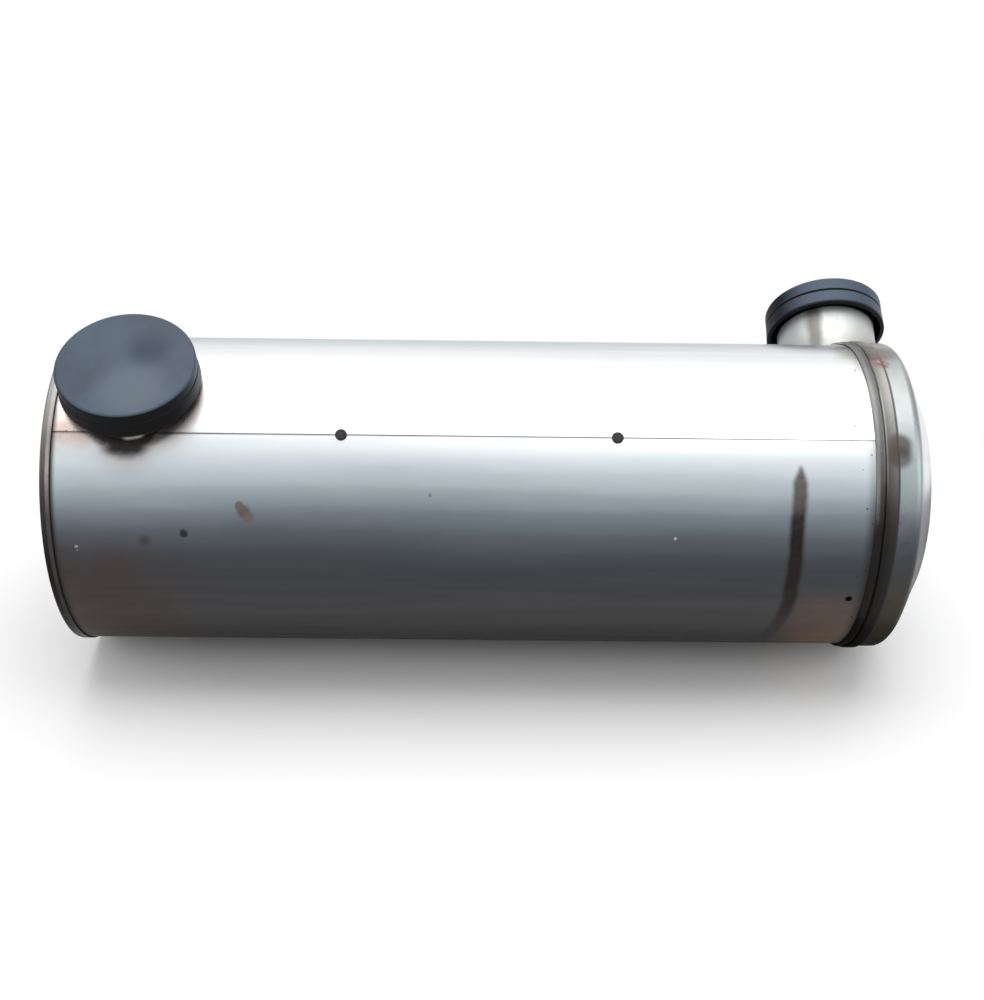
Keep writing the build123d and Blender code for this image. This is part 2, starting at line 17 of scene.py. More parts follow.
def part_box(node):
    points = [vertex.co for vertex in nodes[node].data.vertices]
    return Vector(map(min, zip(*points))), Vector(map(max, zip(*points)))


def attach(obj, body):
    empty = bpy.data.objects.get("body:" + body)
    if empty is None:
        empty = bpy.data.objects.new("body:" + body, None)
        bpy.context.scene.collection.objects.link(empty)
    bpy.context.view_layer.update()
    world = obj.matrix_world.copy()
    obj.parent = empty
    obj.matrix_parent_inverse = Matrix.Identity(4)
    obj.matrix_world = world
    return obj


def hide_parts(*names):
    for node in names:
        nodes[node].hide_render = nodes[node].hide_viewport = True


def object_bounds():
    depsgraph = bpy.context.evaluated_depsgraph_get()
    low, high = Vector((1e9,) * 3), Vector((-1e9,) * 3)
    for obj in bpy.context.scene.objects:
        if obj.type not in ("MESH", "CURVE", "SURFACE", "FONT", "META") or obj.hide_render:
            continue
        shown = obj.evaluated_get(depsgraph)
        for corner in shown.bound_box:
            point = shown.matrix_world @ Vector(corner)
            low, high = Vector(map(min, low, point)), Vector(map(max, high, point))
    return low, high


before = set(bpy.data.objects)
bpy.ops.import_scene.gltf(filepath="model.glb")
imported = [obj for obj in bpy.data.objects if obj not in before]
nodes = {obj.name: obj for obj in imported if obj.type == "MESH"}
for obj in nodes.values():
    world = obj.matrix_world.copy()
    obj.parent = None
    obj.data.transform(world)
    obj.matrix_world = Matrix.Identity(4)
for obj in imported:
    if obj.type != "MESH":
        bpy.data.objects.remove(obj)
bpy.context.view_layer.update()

# %% [markdown]
# The solids say how large the can is, so its main sizes are read and not typed again. A sheet's
# box gives its end stations and its radius. Angles about the can are measured from the front, -Y,
# upwards to +Z, because that is how a fitter would call them out with the can on its cradle.

# %% Read the can's sizes from its solids
BARREL_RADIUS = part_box("outer_wrap")[1].z
LEFT_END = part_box("left_head")[0].x
LIP_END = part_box("left_head")[1].x
WELD_START, WELD_END = (corner.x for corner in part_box("cover_weld_ring"))
COVER_START, COVER_TIP = (corner.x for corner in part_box("end_cover"))
COVER_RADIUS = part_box("end_cover")[1].z


def around(x, angle, radius=BARREL_RADIUS):
    """The point at a station, an angle in degrees from the front, and a radius."""
    turn = math.radians(angle)
    return Vector((x, -radius * math.cos(turn), radius * math.sin(turn)))


def direction(angle):
    """The unit vector that points out of the can at an angle."""
    return around(0, angle, 1)


print(f"barrel radius {BARREL_RADIUS * 1000:.1f} mm, from {LEFT_END:.3f} to {COVER_TIP:.3f} m")

# %% [markdown]
# Each port is a round tube that stands on the can. Its axis runs through the middle of its
# clamp flange, so the flange's box gives the station, and the angle is known from the fitting.

# %% Find the two ports
INLET_ANGLE = 68.0
OUTLET_ANGLE = 148.5


def middle_x(node):
    """The station of a solid's middle."""
    low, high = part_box(node)
    return (low.x + high.x) / 2


INLET_X = middle_x("inlet_flange")
OUTLET_X = middle_x("outlet_flange")
TUBE_RADIUS = (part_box("outlet_tube")[1].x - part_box("outlet_tube")[0].x) / 2
print(f"inlet at x {INLET_X:.3f}, outlet at x {OUTLET_X:.3f}, tube radius {TUBE_RADIUS:.4f}")

# %% [markdown]
# A camera is placed by where it stands and how it is turned. This one stands in front of the can
# and above it, looking down by about a third of a right angle, with a normal lens. A small shift
# slides the view upwards, as a view camera's rising front does, without tilting it.

# %% Stand the camera in front of the can
CAMERA_PLACE = (0.0096, -1.3615, 0.7862)
CAMERA_TURN = (56.297, -0.795, -0.159)
CAMERA_LENS = 49.3
CAMERA_SHIFT = 0.08

camera_data = bpy.data.cameras.new("camera")
camera_data.lens = CAMERA_LENS
camera_data.sensor_fit = "AUTO"
camera_data.shift_y = CAMERA_SHIFT
camera = bpy.data.objects.new("camera", camera_data)
camera.location = CAMERA_PLACE
camera.rotation_euler = [math.radians(turn) for turn in CAMERA_TURN]
bpy.context.scene.collection.objects.link(camera)
bpy.context.scene.camera = camera
print("camera", CAMERA_LENS, "mm at", CAMERA_PLACE)

# %% [markdown]
# A material is a small network of nodes: some say where a point is, some make noise or masks, and
# one shader turns it all into colour and gloss. Writing the network by hand is slow, so these
# helpers wrap it. Each call adds its nodes and returns their output, ready to feed the next one.

# %% Make a helper that builds node networks
class Network:
    """A node network under construction: each call adds its nodes and returns their output."""

    def __init__(self, tree):
        self.tree = tree

    def add(self, kind, **settings):
        """A new node with its settings."""
        made = self.tree.nodes.new(kind)
        for key, value in settings.items():
            setattr(made, key, value)
        return made

    def feed(self, socket, value):
        """Links an output to a socket, or sets a plain number or colour on it."""
        if isinstance(value, bpy.types.NodeSocket):
            self.tree.links.new(value, socket)
        elif hasattr(value, "__len__") and len(value) == 3 and socket.type == "RGBA":
            socket.default_value = (*value, 1)
        else:
            socket.default_value = value

    def maths(self, operation, a, b=0.0):
        """One sum."""
        made = self.add("ShaderNodeMath", operation=operation)
        self.feed(made.inputs[0], a)
        self.feed(made.inputs[1], b)
        return made.outputs[0]

    def vectors(self, operation, first, second=(0, 0, 0)):
        """One sum of vectors; the result is a vector or a number, as the operation says."""
        made = self.add("ShaderNodeVectorMath", operation=operation)
        self.feed(made.inputs[0], first)
        self.feed(made.inputs[1], second)
        return made.outputs["Vector" if operation in ("SUBTRACT", "CROSS_PRODUCT") else "Value"]

    def between(self, value, low, high, start=0.0, end=1.0, straight=False):
        """Goes from start to end while the value goes from low to high, eased or straight."""
        kind = "LINEAR" if straight else "SMOOTHSTEP"
        made = self.add("ShaderNodeMapRange", interpolation_type=kind)
        for index, number in enumerate((value, low, high, start, end)):
            self.feed(made.inputs[index], number)
        return made.outputs[0]

    def mask(self, *parts):
        """The product of its parts: each is an output, a number, or a tuple for between()."""
        product = None
        for part in parts:
            part = self.between(*part) if isinstance(part, tuple) else part
            product = part if product is None else self.maths("MULTIPLY", product, part)
        return product


print("network helper ready")

# %% [markdown]
# A finish is the network of one material. Object coordinates are used throughout: they stick to
# the metal whatever the camera does. Colours are built like paint, in layers: each one has a mask
# that says where it lies, and it covers the layers before it there.

# %% Make a helper that builds finishes
class Finish(Network):
    """The network of one material."""

    SOCKETS = {"colour": "Base Color", "rough": "Roughness", "metal": "Metallic",
               "shine": "Specular IOR Level", "normal": "Normal"}

    def __init__(self, name):
        self.material = bpy.data.materials.new(name)
        self.material.use_nodes = True
        super().__init__(self.material.node_tree)
        self.shader = self.tree.nodes["Principled BSDF"]
        self.place = self.add("ShaderNodeTexCoord").outputs["Object"]

    def mix(self, mask, first, second, blend="MIX"):
        """Goes from the first colour to the second with the mask."""
        made = self.add("ShaderNodeMix", data_type="RGBA", blend_type=blend)
        self.feed(made.inputs["Factor"], mask)
        self.feed(made.inputs["A"], first)
        self.feed(made.inputs["B"], second)
        return made.outputs["Result"]

    def tint(self, first, second):
        """Two colours multiplied."""
        return self.mix(1.0, first, second, "MULTIPLY")

    def over(self, colour, *layers):
        """Lays layers over a colour: each is a mask, or a tuple for between(), and a colour."""
        for mask, layer in layers:
            colour = self.mix(self.mask(mask), colour, layer)
        return colour

    def ramp(self, value, *stops):
        """A smooth run of colours: each stop is a value and the colour that it has there."""
        low, high = stops[0][0], stops[-1][0]
        made = self.add("ShaderNodeValToRGB")
        self.feed(made.inputs["Fac"], self.between(value, low, high, straight=True))
        made.color_ramp.interpolation = "CARDINAL"
        elements = made.color_ramp.elements
        elements[0].color, elements[-1].color = (*stops[0][1], 1), (*stops[-1][1], 1)
        for at, colour in stops[1:-1]:
            elements.new((at - low) / (high - low)).color = (*colour, 1)
        return made.outputs["Color"]

    def stretched(self, stretch):
        """The place, scaled along each axis."""
        made = self.add("ShaderNodeMapping")
        self.feed(made.inputs["Vector"], self.place)
        made.inputs["Scale"].default_value = stretch
        return made.outputs[0]

    def cloud(self, scale, detail, stretch=(1, 1, 1), rough=0.5):
        """Soft noise from 0 to 1."""
        made = self.add("ShaderNodeTexNoise")
        self.feed(made.inputs["Vector"], self.stretched(stretch))
        made.inputs["Scale"].default_value = scale
        made.inputs["Detail"].default_value = detail
        made.inputs["Roughness"].default_value = rough
        return made.outputs["Fac"]

    def sway(self, cloud, amount):
        """Noise as a shift that goes half the amount to either side of zero."""
        return self.mask(self.maths("SUBTRACT", cloud, 0.5), amount)

    def relief(self, height, distance, strength=1.0, under=None):
        """A bump from a height of 0 to 1 that stands for a distance in metres."""
        made = self.add("ShaderNodeBump")
        made.inputs["Strength"].default_value = strength
        made.inputs["Distance"].default_value = distance
        self.feed(made.inputs["Height"], height)
        if under is not None:
            self.feed(made.inputs["Normal"], under)
        return made.outputs[0]

    def coat(self, **looks):
        """Feeds the shader, socket by socket."""
        for name, value in looks.items():
            self.feed(self.shader.inputs[self.SOCKETS[name]], value)

    def wear(self, *names):
        """Puts this finish on solids by name."""
        for name in names:
            mesh = nodes[name].data
            mesh.materials.clear()
            mesh.materials.append(self.material)
        print(self.material.name, "on", ", ".join(names))


print("finish helper ready")

# %% [markdown]
# Grime, tints and painted reflection lie at certain stations and angles of the can. More helpers
# measure where a point lies on the can or beside a port, and from that make the masks that place a
# ring, a streak or a spot. A height measured as an angle is the same in front and behind, so colour
# that follows it has no step where the angle about the can jumps from 180 to -180 degrees.

# %% Add measures and masks for a round can
def measures(finish):
    """Station x, angle about the can in degrees from the front, and distance from its axis."""
    split = finish.add("ShaderNodeSeparateXYZ")
    finish.feed(split.inputs[0], finish.place)
    x, y, z = split.outputs
    angle = finish.maths("DEGREES", finish.maths("ARCTAN2", z, finish.mask(y, -1.0)))
    squares = finish.maths("ADD", finish.mask(y, y), finish.mask(z, z))
    return x, angle, finish.maths("SQRT", squares)


def slope_height(finish, angle, reach=None, flat_radius=1.0):
    """The height about the can as an angle, from -90 to 90 degrees; level on a flat end."""
    height = finish.maths("SINE", finish.maths("RADIANS", angle))
    if reach is not None:
        share = finish.maths("DIVIDE", reach, finish.maths("MAXIMUM", reach, flat_radius))
        height = finish.mask(height, share)
    return finish.maths("DEGREES", finish.maths("ARCSINE", finish.mask(height, 0.9999)))


def band(finish, value, middle, half, soft):
    """1 within half a width of the middle, easing to 0 over the soft edge."""
    away = finish.maths("ABSOLUTE", finish.maths("SUBTRACT", value, middle))
    return finish.between(away, half, half + soft, 1.0, 0.0)


def near_point(finish, point, radius, soft):
    """1 within the radius of a point, easing to 0 over the soft edge."""
    away = finish.vectors("DISTANCE", finish.place, point)
    return finish.between(away, radius, radius + soft, 1.0, 0.0)


def port_height(finish, x, angle):
    """How far a place stands out along a port's axis from the can's axis, in metres."""
    shifted = finish.vectors("SUBTRACT", finish.place, (x, 0, 0))
    return finish.vectors("DOT_PRODUCT", shifted, direction(angle))


def near_port(finish, x, angle):
    """The distance of a place from a port's axis; a metre more on the can's far side."""
    shifted = finish.vectors("SUBTRACT", finish.place, (x, 0, 0))
    away = finish.vectors("LENGTH", finish.vectors("CROSS_PRODUCT", shifted, direction(angle)))
    far_side = finish.between(port_height(finish, x, angle), 0.0, 0.01, 1.0, 0.0)
    return finish.maths("ADD", away, far_side)


def facing(finish, side):
    """How far a surface faces along a direction, from -1 to 1."""
    outward = finish.add("ShaderNodeTexCoord").outputs["Normal"]
    return finish.vectors("DOT_PRODUCT", outward, side)


print("mask helpers ready")

# %% [markdown]
# The wrap is rolled stainless with a satin face. Rolling leaves fine lines along the sheet, so
# the noise is stretched a long way along X and squeezed across it. The same lines steer colour,
# gloss and a very shallow bump, as they do on real sheet. They stay faint: from a few steps away
# good sheet looks even.

# %% Start the satin wrap with its rolling lines
STEEL = (0.77, 0.785, 0.79)
STEEL_SHADE = (0.68, 0.695, 0.70)
STEEL_PATCH = (0.60, 0.62, 0.63)
LINE_PALE = (1.10, 1.10, 1.10)
LINE_DARK = (0.88, 0.88, 0.88)
wrap = Finish("satin_wrap")
wrap_x, wrap_angle, _ = measures(wrap)
lines = wrap.cloud(90, 4, (0.05, 1, 1), 0.6)
patches = wrap.cloud(7, 4, (0.5, 1, 1), 0.55)
fine = wrap.cloud(420, 2, (0.03, 1, 1))
bare = wrap.over(STEEL, ((lines, 0.35, 0.75), STEEL_SHADE),
                 ((patches, 0.45, 0.8, 0.0, 0.4), STEEL_PATCH))
print("satin base ready")

# %% [markdown]
# The lower half of the can is painted darker, as a painted reflection of a dark ground. It starts
# as a thin blue-grey painted reflection of the sky below the seam, darkens steadily down the front
# and is nearly black at the bottom. A colour ramp along the height holds those steps. Noise shifts
# the height a little, so that it has drifts in it and no level edge. A painted shade darkens the crown
# slightly.

# %% Paint a dark reflection on the lower half
# Painted reflection of a dark ground: colour by height, nearly black at the bottom.
LOW_PAINTED_REFLECTION_STEPS = (
    (-60.0, (0.036, 0.033, 0.033)), (-34.0, (0.056, 0.054, 0.055)), (-20.0, (0.070, 0.068, 0.071)),
    (0.0, (0.056, 0.059, 0.065)), (9.0, (0.074, 0.083, 0.094)), (17.0, (0.122, 0.142, 0.163)),
    (24.0, (0.205, 0.24, 0.27)), (31.0, (0.345, 0.395, 0.425)), (38.0, (0.51, 0.565, 0.60)),
    (50.0, (0.72, 0.755, 0.77)),
)
CROWN_PAINTED_SHADE = (0.60, 0.65, 0.675)
drift = wrap.sway(wrap.cloud(5, 5, (0.35, 1, 1), 0.6), 14.0)
drift = wrap.maths("ADD", drift, wrap.sway(lines, 6.0))
wrap_height = wrap.maths("ADD", slope_height(wrap, wrap_angle), drift)
low_painted_reflection = wrap.between(wrap_height, 12.0, 52.0, 1.0, 0.0)
low_painted_reflection_colour = wrap.tint(wrap.ramp(wrap_height, *LOW_PAINTED_REFLECTION_STEPS), wrap.mix(lines, LINE_PALE, LINE_DARK))
wrap_colour = wrap.over(bare, ((wrap_height, 44.0, 56.0, 1.0, 0.0), low_painted_reflection_colour))
# Painted shade: the crown and the top of the far side are darkened.
crown_painted_shade = wrap.mask((wrap_angle, 91.0, 109.0), (wrap_angle, 120.0, 168.0, 1.0, 0.0))
wrap_colour = wrap.over(wrap_colour, (crown_painted_shade, wrap.tint(wrap_colour, CROWN_PAINTED_SHADE)))
print("grime film ready")

# %% [markdown]
# Near both ends the lower part is painted brown instead of grey, as a painted reflection of a brown
# ground. Two soft zones carry it: a broad one at the left end, and a narrow one by the ring weld.

# %% Paint a brown reflection low down near both ends
# Painted reflection of a brown ground, low down near both ends.
BROWN_GROUND_REFLECTION = (0.061, 0.043, 0.037)
RUST_COLOURED_REFLECTION = (0.150, 0.090, 0.052)
brown_patch = wrap.between(wrap.cloud(9, 5, (0.8, 1, 1), 0.65), 0.36, 0.62, 0.35, 1.0)
left_zone = wrap.mask((wrap_x, LEFT_END + 0.045, LEFT_END + 0.19, 1.0, 0.0),
                      (wrap_height, 2.0, 22.0, 0.9, 0.0), brown_patch)
right_zone = wrap.mask((wrap_x, WELD_START - 0.100, WELD_START - 0.022),
                       (wrap_height, -22.0, -4.0, 0.85, 0.0), brown_patch)
wrap_colour = wrap.over(wrap_colour, (left_zone, BROWN_GROUND_REFLECTION), (right_zone, RUST_COLOURED_REFLECTION))
print("brown ends ready")

# %% [markdown]
# Welding and exhaust heat colour stainless from straw to brown. The inlet's root has a pinkish halo
# that runs out to the left end. Below the inlet's cap lies a dark patch, partly soot washed down from
# under the cap and partly the cap's painted shadow. The outlet's root has a straw halo.

# %% Tint the wrap beside the welds
PINK_TINT = (0.50, 0.39, 0.34)
WASH_TINT = (0.33, 0.28, 0.26)
SOOT_AND_CAP_SHADOW_TINT = (0.020, 0.014, 0.012)
STRAW_TINT = (0.55, 0.49, 0.30)
inlet_away = near_port(wrap, INLET_X, INLET_ANGLE)
outlet_away = near_port(wrap, OUTLET_X, OUTLET_ANGLE)
mottle = wrap.between(wrap.cloud(16, 5, rough=0.65), 0.35, 0.70)
pink_halo = wrap.mask((inlet_away, 0.064, 0.096, 0.9, 0.0), mottle, (wrap_angle, 62.0, 74.0, 1.0, 0.15))
wash = wrap.mask(near_point(wrap, around(INLET_X + 0.003, 44), 0.010, 0.030), 0.45)
left_pink = near_point(wrap, around(LEFT_END + 0.020, 52), 0.010, 0.030)
left_pink = wrap.mask(left_pink, (mottle, 0.0, 1.0, 0.35, 0.9))
# Soot and the cap's painted shadow: dark below the inlet cap.
soot_and_shadow_edge = wrap.maths("ADD", inlet_away, wrap.sway(mottle, 0.010))
soot_and_shadow_low = wrap.mask((soot_and_shadow_edge, 0.0675, 0.080, 1.0, 0.0),
                     band(wrap, wrap_x, INLET_X + 0.001, 0.012, 0.022))
soot_and_shadow_close = wrap.mask((soot_and_shadow_edge, 0.062, 0.074, 1.0, 0.0),
                       band(wrap, wrap_x, INLET_X - 0.004, 0.030, 0.020))
soot_and_cap_shadow = wrap.mask(wrap.maths("MAXIMUM", soot_and_shadow_low, soot_and_shadow_close), (wrap_angle, 56.0, 64.0, 1.0, 0.2))
straw_halo = wrap.mask((outlet_away, 0.060, 0.095, 0.8, 0.0), mottle)
wrap_colour = wrap.over(
    wrap_colour, (pink_halo, PINK_TINT), (wash, WASH_TINT), (left_pink, PINK_TINT),
    (wrap.mask(soot_and_cap_shadow, 0.95), SOOT_AND_CAP_SHADOW_TINT), (straw_halo, STRAW_TINT),
)
print("tints ready")

# %% [markdown]
# A strap once sat near the right end and left a scorched stripe round the front, pointed at its
# top. Rub marks and a few dark spots come from lifting and handling. Each is a mask at a station
# and an angle, broken up by noise so that no edge is clean.

# %% Draw the scorched stripe, the spots and the rubbed marks
DIRT = (0.035, 0.033, 0.032)
STRIPE_X = 0.3385
STRIPE_HALF = 0.0072
STRIPE_TOP = 41.0
STRIPE_FOOT = -8.0
STRIPE_COLOUR = (0.019, 0.016, 0.0145)
STRIPE_HEAD_COLOUR = (0.072, 0.052, 0.042)
SMEAR_PLACE = around(-0.334, 11.5)
SPOTS = (
    (-0.231, 22.0, 0.0066, (0.110, 0.086, 0.082)), (-0.2265, 19.8, 0.0060, (0.135, 0.115, 0.115)),
    (-0.2355, 24.2, 0.0045, (0.13, 0.105, 0.10)), (-0.2934, 14.2, 0.0042, (0.022, 0.022, 0.024)),
    (0.3976, 55.0, 0.0013, (0.12, 0.12, 0.12)), (-0.255, 71.0, 0.0022, (0.34, 0.32, 0.33)),
    (-0.262, 69.0, 0.0014, (0.40, 0.38, 0.38)), (-0.040, 28.5, 0.0018, (0.16, 0.17, 0.18)),
    (-0.405, 9.0, 0.0016, (0.30, 0.29, 0.28)), (-0.4045, 7.5, 0.0011, (0.30, 0.29, 0.28)),
    (0.212, 14.0, 0.0016, (0.42, 0.44, 0.46)),
)
stripe_x = wrap.maths("ADD", wrap_x, wrap.sway(wrap.cloud(26, 3), 0.006))
stripe_x = wrap.maths("ADD", stripe_x, wrap.between(wrap_angle, -50.0, STRIPE_FOOT, 0.012, 0.0))
stripe_half = wrap.mask((wrap_angle, STRIPE_TOP - 8, STRIPE_TOP + 1, 1.0, 0.0), STRIPE_HALF)
stripe_away = wrap.maths("ABSOLUTE", wrap.maths("SUBTRACT", stripe_x, STRIPE_X))
stripe_edge = wrap.maths("SUBTRACT", stripe_away, stripe_half)
stripe = wrap.mask((stripe_edge, -0.0032, 0.0036, 1.0, 0.0),
                   (wrap_angle, STRIPE_TOP - 2, STRIPE_TOP, 1.0, 0.0),
                   (wrap_angle, -60.0, STRIPE_FOOT), (mottle, 0.0, 0.8, 0.82, 1.0))
stripe_tone = wrap.over(STRIPE_COLOUR, ((wrap_angle, 20.0, 30.0), STRIPE_HEAD_COLOUR),
                        ((wrap_angle, 35.5, 39.0, 0.0, 0.8), DIRT))
wrap_colour = wrap.over(wrap_colour, (stripe, stripe_tone))
ragged = wrap.sway(wrap.cloud(320, 3), 0.004)
for x, angle, radius, colour in SPOTS:
    away = wrap.maths("ADD", wrap.vectors("DISTANCE", wrap.place, around(x, angle)), ragged)
    wrap_colour = wrap.over(wrap_colour, ((away, radius * 0.6, radius * 1.4, 0.92, 0.0), colour))
smear = wrap.mask(near_point(wrap, SMEAR_PLACE, 0.002, 0.007), (lines, 0.45, 0.6, 0.0, 0.7))
wrap_colour = wrap.over(wrap_colour, (smear, DIRT))
print(len(SPOTS), "spots and one stripe")

# %% [markdown]
# The wrap's lap seam is a real groove in the solid, but dirt fills it and stains the metal on both
# sides. The same holds for the drain hole and for the folded lip and the ring weld at the ends.

# %% Gather dirt along the seam and both ends
SEAM_ANGLE = 49.3
SEAM_GREY = (0.10, 0.098, 0.096)
BROWN_TINT = (0.30, 0.27, 0.23)
DRAIN = around(0.402, -10)
DRAIN_BLACK = (0.004, 0.004, 0.004)
seam = wrap.mask(band(wrap, wrap_angle, SEAM_ANGLE, 0.12, 0.75), (wrap_x, 0.15, 0.35, 0.5, 0.1))
left_edge = wrap.between(wrap_x, LIP_END, LIP_END + 0.006, 0.8, 0.0)
right_crown = wrap.mask((wrap_x, WELD_START - 0.030, WELD_START - 0.006),
                        band(wrap, wrap_angle, 112.0, 18.0, 26.0), (wrap_angle, 84.0, 94.0, 0.0, 0.75))
right_edge = wrap.mask((wrap_x, WELD_START - 0.011, WELD_START - 0.001),
                       (wrap_height, 12.0, 45.0, 0.75, 0.30))
drain_dirt = near_point(wrap, DRAIN, 0.0028, 0.0020)
wrap_colour = wrap.over(
    wrap_colour, (seam, SEAM_GREY), (left_edge, DIRT), (right_crown, BROWN_TINT),
    (right_edge, DIRT), (drain_dirt, DRAIN_BLACK),
)
print("seam dirt ready")

# %% [markdown]
# Colour alone looks like paint. Where the lower half is painted dark, and on the stripe, the soot
# and the drain, the masks also raise the roughness and lower the metallic share. Last, three layers
# of bump: long shallow dents of rolled sheet, the rolling lines, and tiny scratches.

# %% Finish the wrap with gloss and relief
dull = wrap.maths("MAXIMUM", low_painted_reflection, wrap.maths("MAXIMUM", stripe, soot_and_cap_shadow))
dull = wrap.maths("MAXIMUM", dull, drain_dirt)
bare_gloss = wrap.between(lines, 0.3, 0.8, 0.30, 0.38)
dents = wrap.relief(wrap.cloud(4.5, 2, (0.6, 1, 1)), 0.0014)
rolled = wrap.relief(lines, 0.00008, 0.6, dents)
wrap.coat(colour=wrap_colour, rough=wrap.maths("ADD", bare_gloss, wrap.mask(dull, 0.22)),
          metal=wrap.between(dull, 0.0, 1.0, 1.0, 0.72), shine=wrap.between(dull, 0.0, 1.0, 0.5, 0.12),
          normal=wrap.relief(fine, 0.00003, 0.5, rolled))
wrap.wear("outer_wrap")

# %% [markdown]
# The left head's folded lip was rolled over the wrap's end. Its crest carries a painted highlight,
# and like the barrel it is painted darker towards its underside, as a painted reflection. The head's
# flat face is satin and grey, with painted shade that makes it darker and browner towards the bottom.

# %% Finish the folded left head
# Painted reflection: the lip darkens towards its underside.
LIP_PAINTED_REFLECTION_STEPS = (
    (-40.0, (0.010, 0.008, 0.007)), (4.0, (0.016, 0.014, 0.014)), (15.0, (0.030, 0.028, 0.028)),
    (26.0, (0.046, 0.043, 0.043)), (36.0, (0.085, 0.080, 0.080)), (47.0, (0.140, 0.130, 0.130)),
    (60.0, (0.195, 0.190, 0.182)), (85.0, (0.24, 0.24, 0.235)),
)
CREST_HIGHLIGHT = (0.42, 0.40, 0.39)
FOLD_DIRT = (0.012, 0.011, 0.010)
FACE_GREY = (0.42, 0.425, 0.42)
FACE_BROWN = (0.27, 0.245, 0.225)
FACE_LOW_SHADE = (0.075, 0.062, 0.055)
FACE_RADIUS = BARREL_RADIUS - 0.010
head = Finish("folded_head_steel")
head_x, head_angle, head_reach = measures(head)
head_height = slope_height(head, head_angle, head_reach, FACE_RADIUS)
head_streaks = head.cloud(60, 4, (1, 0.25, 0.25), 0.6)
# Painted highlight along the lip's crest, strongest at the top, broken up by noise.
highlight_breakup = head.between(head.cloud(9, 5, (2.5, 1, 1), 0.6), 0.42, 0.62)
crest_highlight = head.mask(band(head, head_x, LIP_END - 0.0030, 0.0010, 0.0018),
                  (head_height, 18.0, 40.0, 0.10, 1.0), (highlight_breakup, 0.0, 1.0, 0.45, 0.9))
fold = head.between(head_x, LIP_END - 0.0012, LIP_END - 0.0002, 0.0, 0.9)
lip_colour = head.over(head.ramp(head_height, *LIP_PAINTED_REFLECTION_STEPS), (crest_highlight, CREST_HIGHLIGHT), (fold, FOLD_DIRT))
face = head.between(head_reach, FACE_RADIUS, BARREL_RADIUS - 0.003, 1.0, 0.0)
# Painted shade: the face is darker and browner towards the bottom.
face_colour = head.over(FACE_GREY, ((head.cloud(6, 5, rough=0.6), 0.35, 0.7), FACE_BROWN),
                        ((head_height, -30.0, 25.0, 0.75, 0.0), FACE_LOW_SHADE))
head_waves = head.relief(head.cloud(14, 3), 0.0009)
head.coat(colour=head.over(lip_colour, (face, face_colour)), metal=0.9, shine=0.2,
          rough=head.between(head_streaks, 0.3, 0.8, 0.36, 0.52),
          normal=head.relief(head_streaks, 0.00015, 0.6, head_waves))
head.wear("left_head")

# %% [markdown]
# Normals say which way a mesh faces at each corner, and shading follows them. The cover's mesh
# meets in one point on the axis, where some normals come out tilted and would show as a small
# false crease. So those are set straight along X.

# %% Straighten the normals in the middle of the end cover
AXIS_NEAR = 0.00001
cover_mesh = nodes["end_cover"].data
normals = [corner.vector.copy() for corner in cover_mesh.corner_normals]
straightened = 0
for normal, loop in zip(normals, cover_mesh.loops):
    spot = cover_mesh.vertices[loop.vertex_index].co
    if math.hypot(spot.y, spot.z) < AXIS_NEAR:
        normal[:] = (math.copysign(1.0, normal.x), 0.0, 0.0)
        straightened += 1
cover_mesh.attributes.remove(cover_mesh.attributes["custom_normal"])
exact = cover_mesh.attributes.new("custom_normal", "FLOAT_VECTOR", "CORNER")
exact.data.foreach_set("vector", [part for normal in normals for part in normal])
print(straightened, "of", len(normals), "normals straightened")

# %% [markdown]
# The end cover is one stamping. Its dome is pale satin above and painted dark below, as a painted
# reflection like the barrel's. Its raised centre is painted a lighter grey as part of the same
# painted reflection, and the upper part of the dome carries a painted highlight. The hemmed rim is
# grey and rubbed, with a painted shade across it that lightens away from the weld, and it is nearly
# black underneath as a painted reflection. Where the rim meets the weld, the crease is painted light
# above and dark below. Brown stains lie beside the rim, where the weld's heat ran through and water
# later dried.

# %% Finish the stamped end cover
# Painted reflection: the hem and dome darken by height.
HEM_PAINTED_REFLECTION_STEPS = (
    (-40.0, (0.004, 0.0035, 0.0025)), (-12.0, (0.013, 0.012, 0.009)), (4.0, (0.018, 0.018, 0.0175)),
    (14.0, (0.022, 0.022, 0.021)), (21.0, (0.031, 0.030, 0.027)), (28.0, (0.052, 0.049, 0.043)),
    (35.0, (0.090, 0.083, 0.077)), (45.0, (0.115, 0.112, 0.108)), (57.0, (0.155, 0.155, 0.142)),
    (72.0, (0.20, 0.20, 0.19)), (84.0, (0.20, 0.195, 0.185)),
)
DOME_PAINTED_REFLECTION_STEPS = (
    (-60.0, (0.014, 0.012, 0.008)), (-20.0, (0.031, 0.028, 0.019)), (-8.0, (0.050, 0.047, 0.036)),
    (2.0, (0.053, 0.054, 0.057)), (9.0, (0.064, 0.067, 0.075)), (17.0, (0.108, 0.118, 0.132)),
    (24.0, (0.185, 0.207, 0.220)), (31.0, (0.26, 0.30, 0.31)), (38.0, (0.30, 0.345, 0.345)),
    (47.0, (0.295, 0.32, 0.325)), (68.0, (0.255, 0.275, 0.27)), (84.0, (0.33, 0.35, 0.345)),
)
RAISED_PAINTED_LIGHT = (0.50, 0.545, 0.57)
RAISED_HIGHLIGHT = (0.84, 0.86, 0.87)
PATCH_SHADE = (0.30, 0.28, 0.28)
RIM_PAINTED_DARK = (0.030, 0.027, 0.024)
RIM_PAINTED_LIGHT = (0.30, 0.295, 0.28)
RUST = (0.170, 0.066, 0.045)
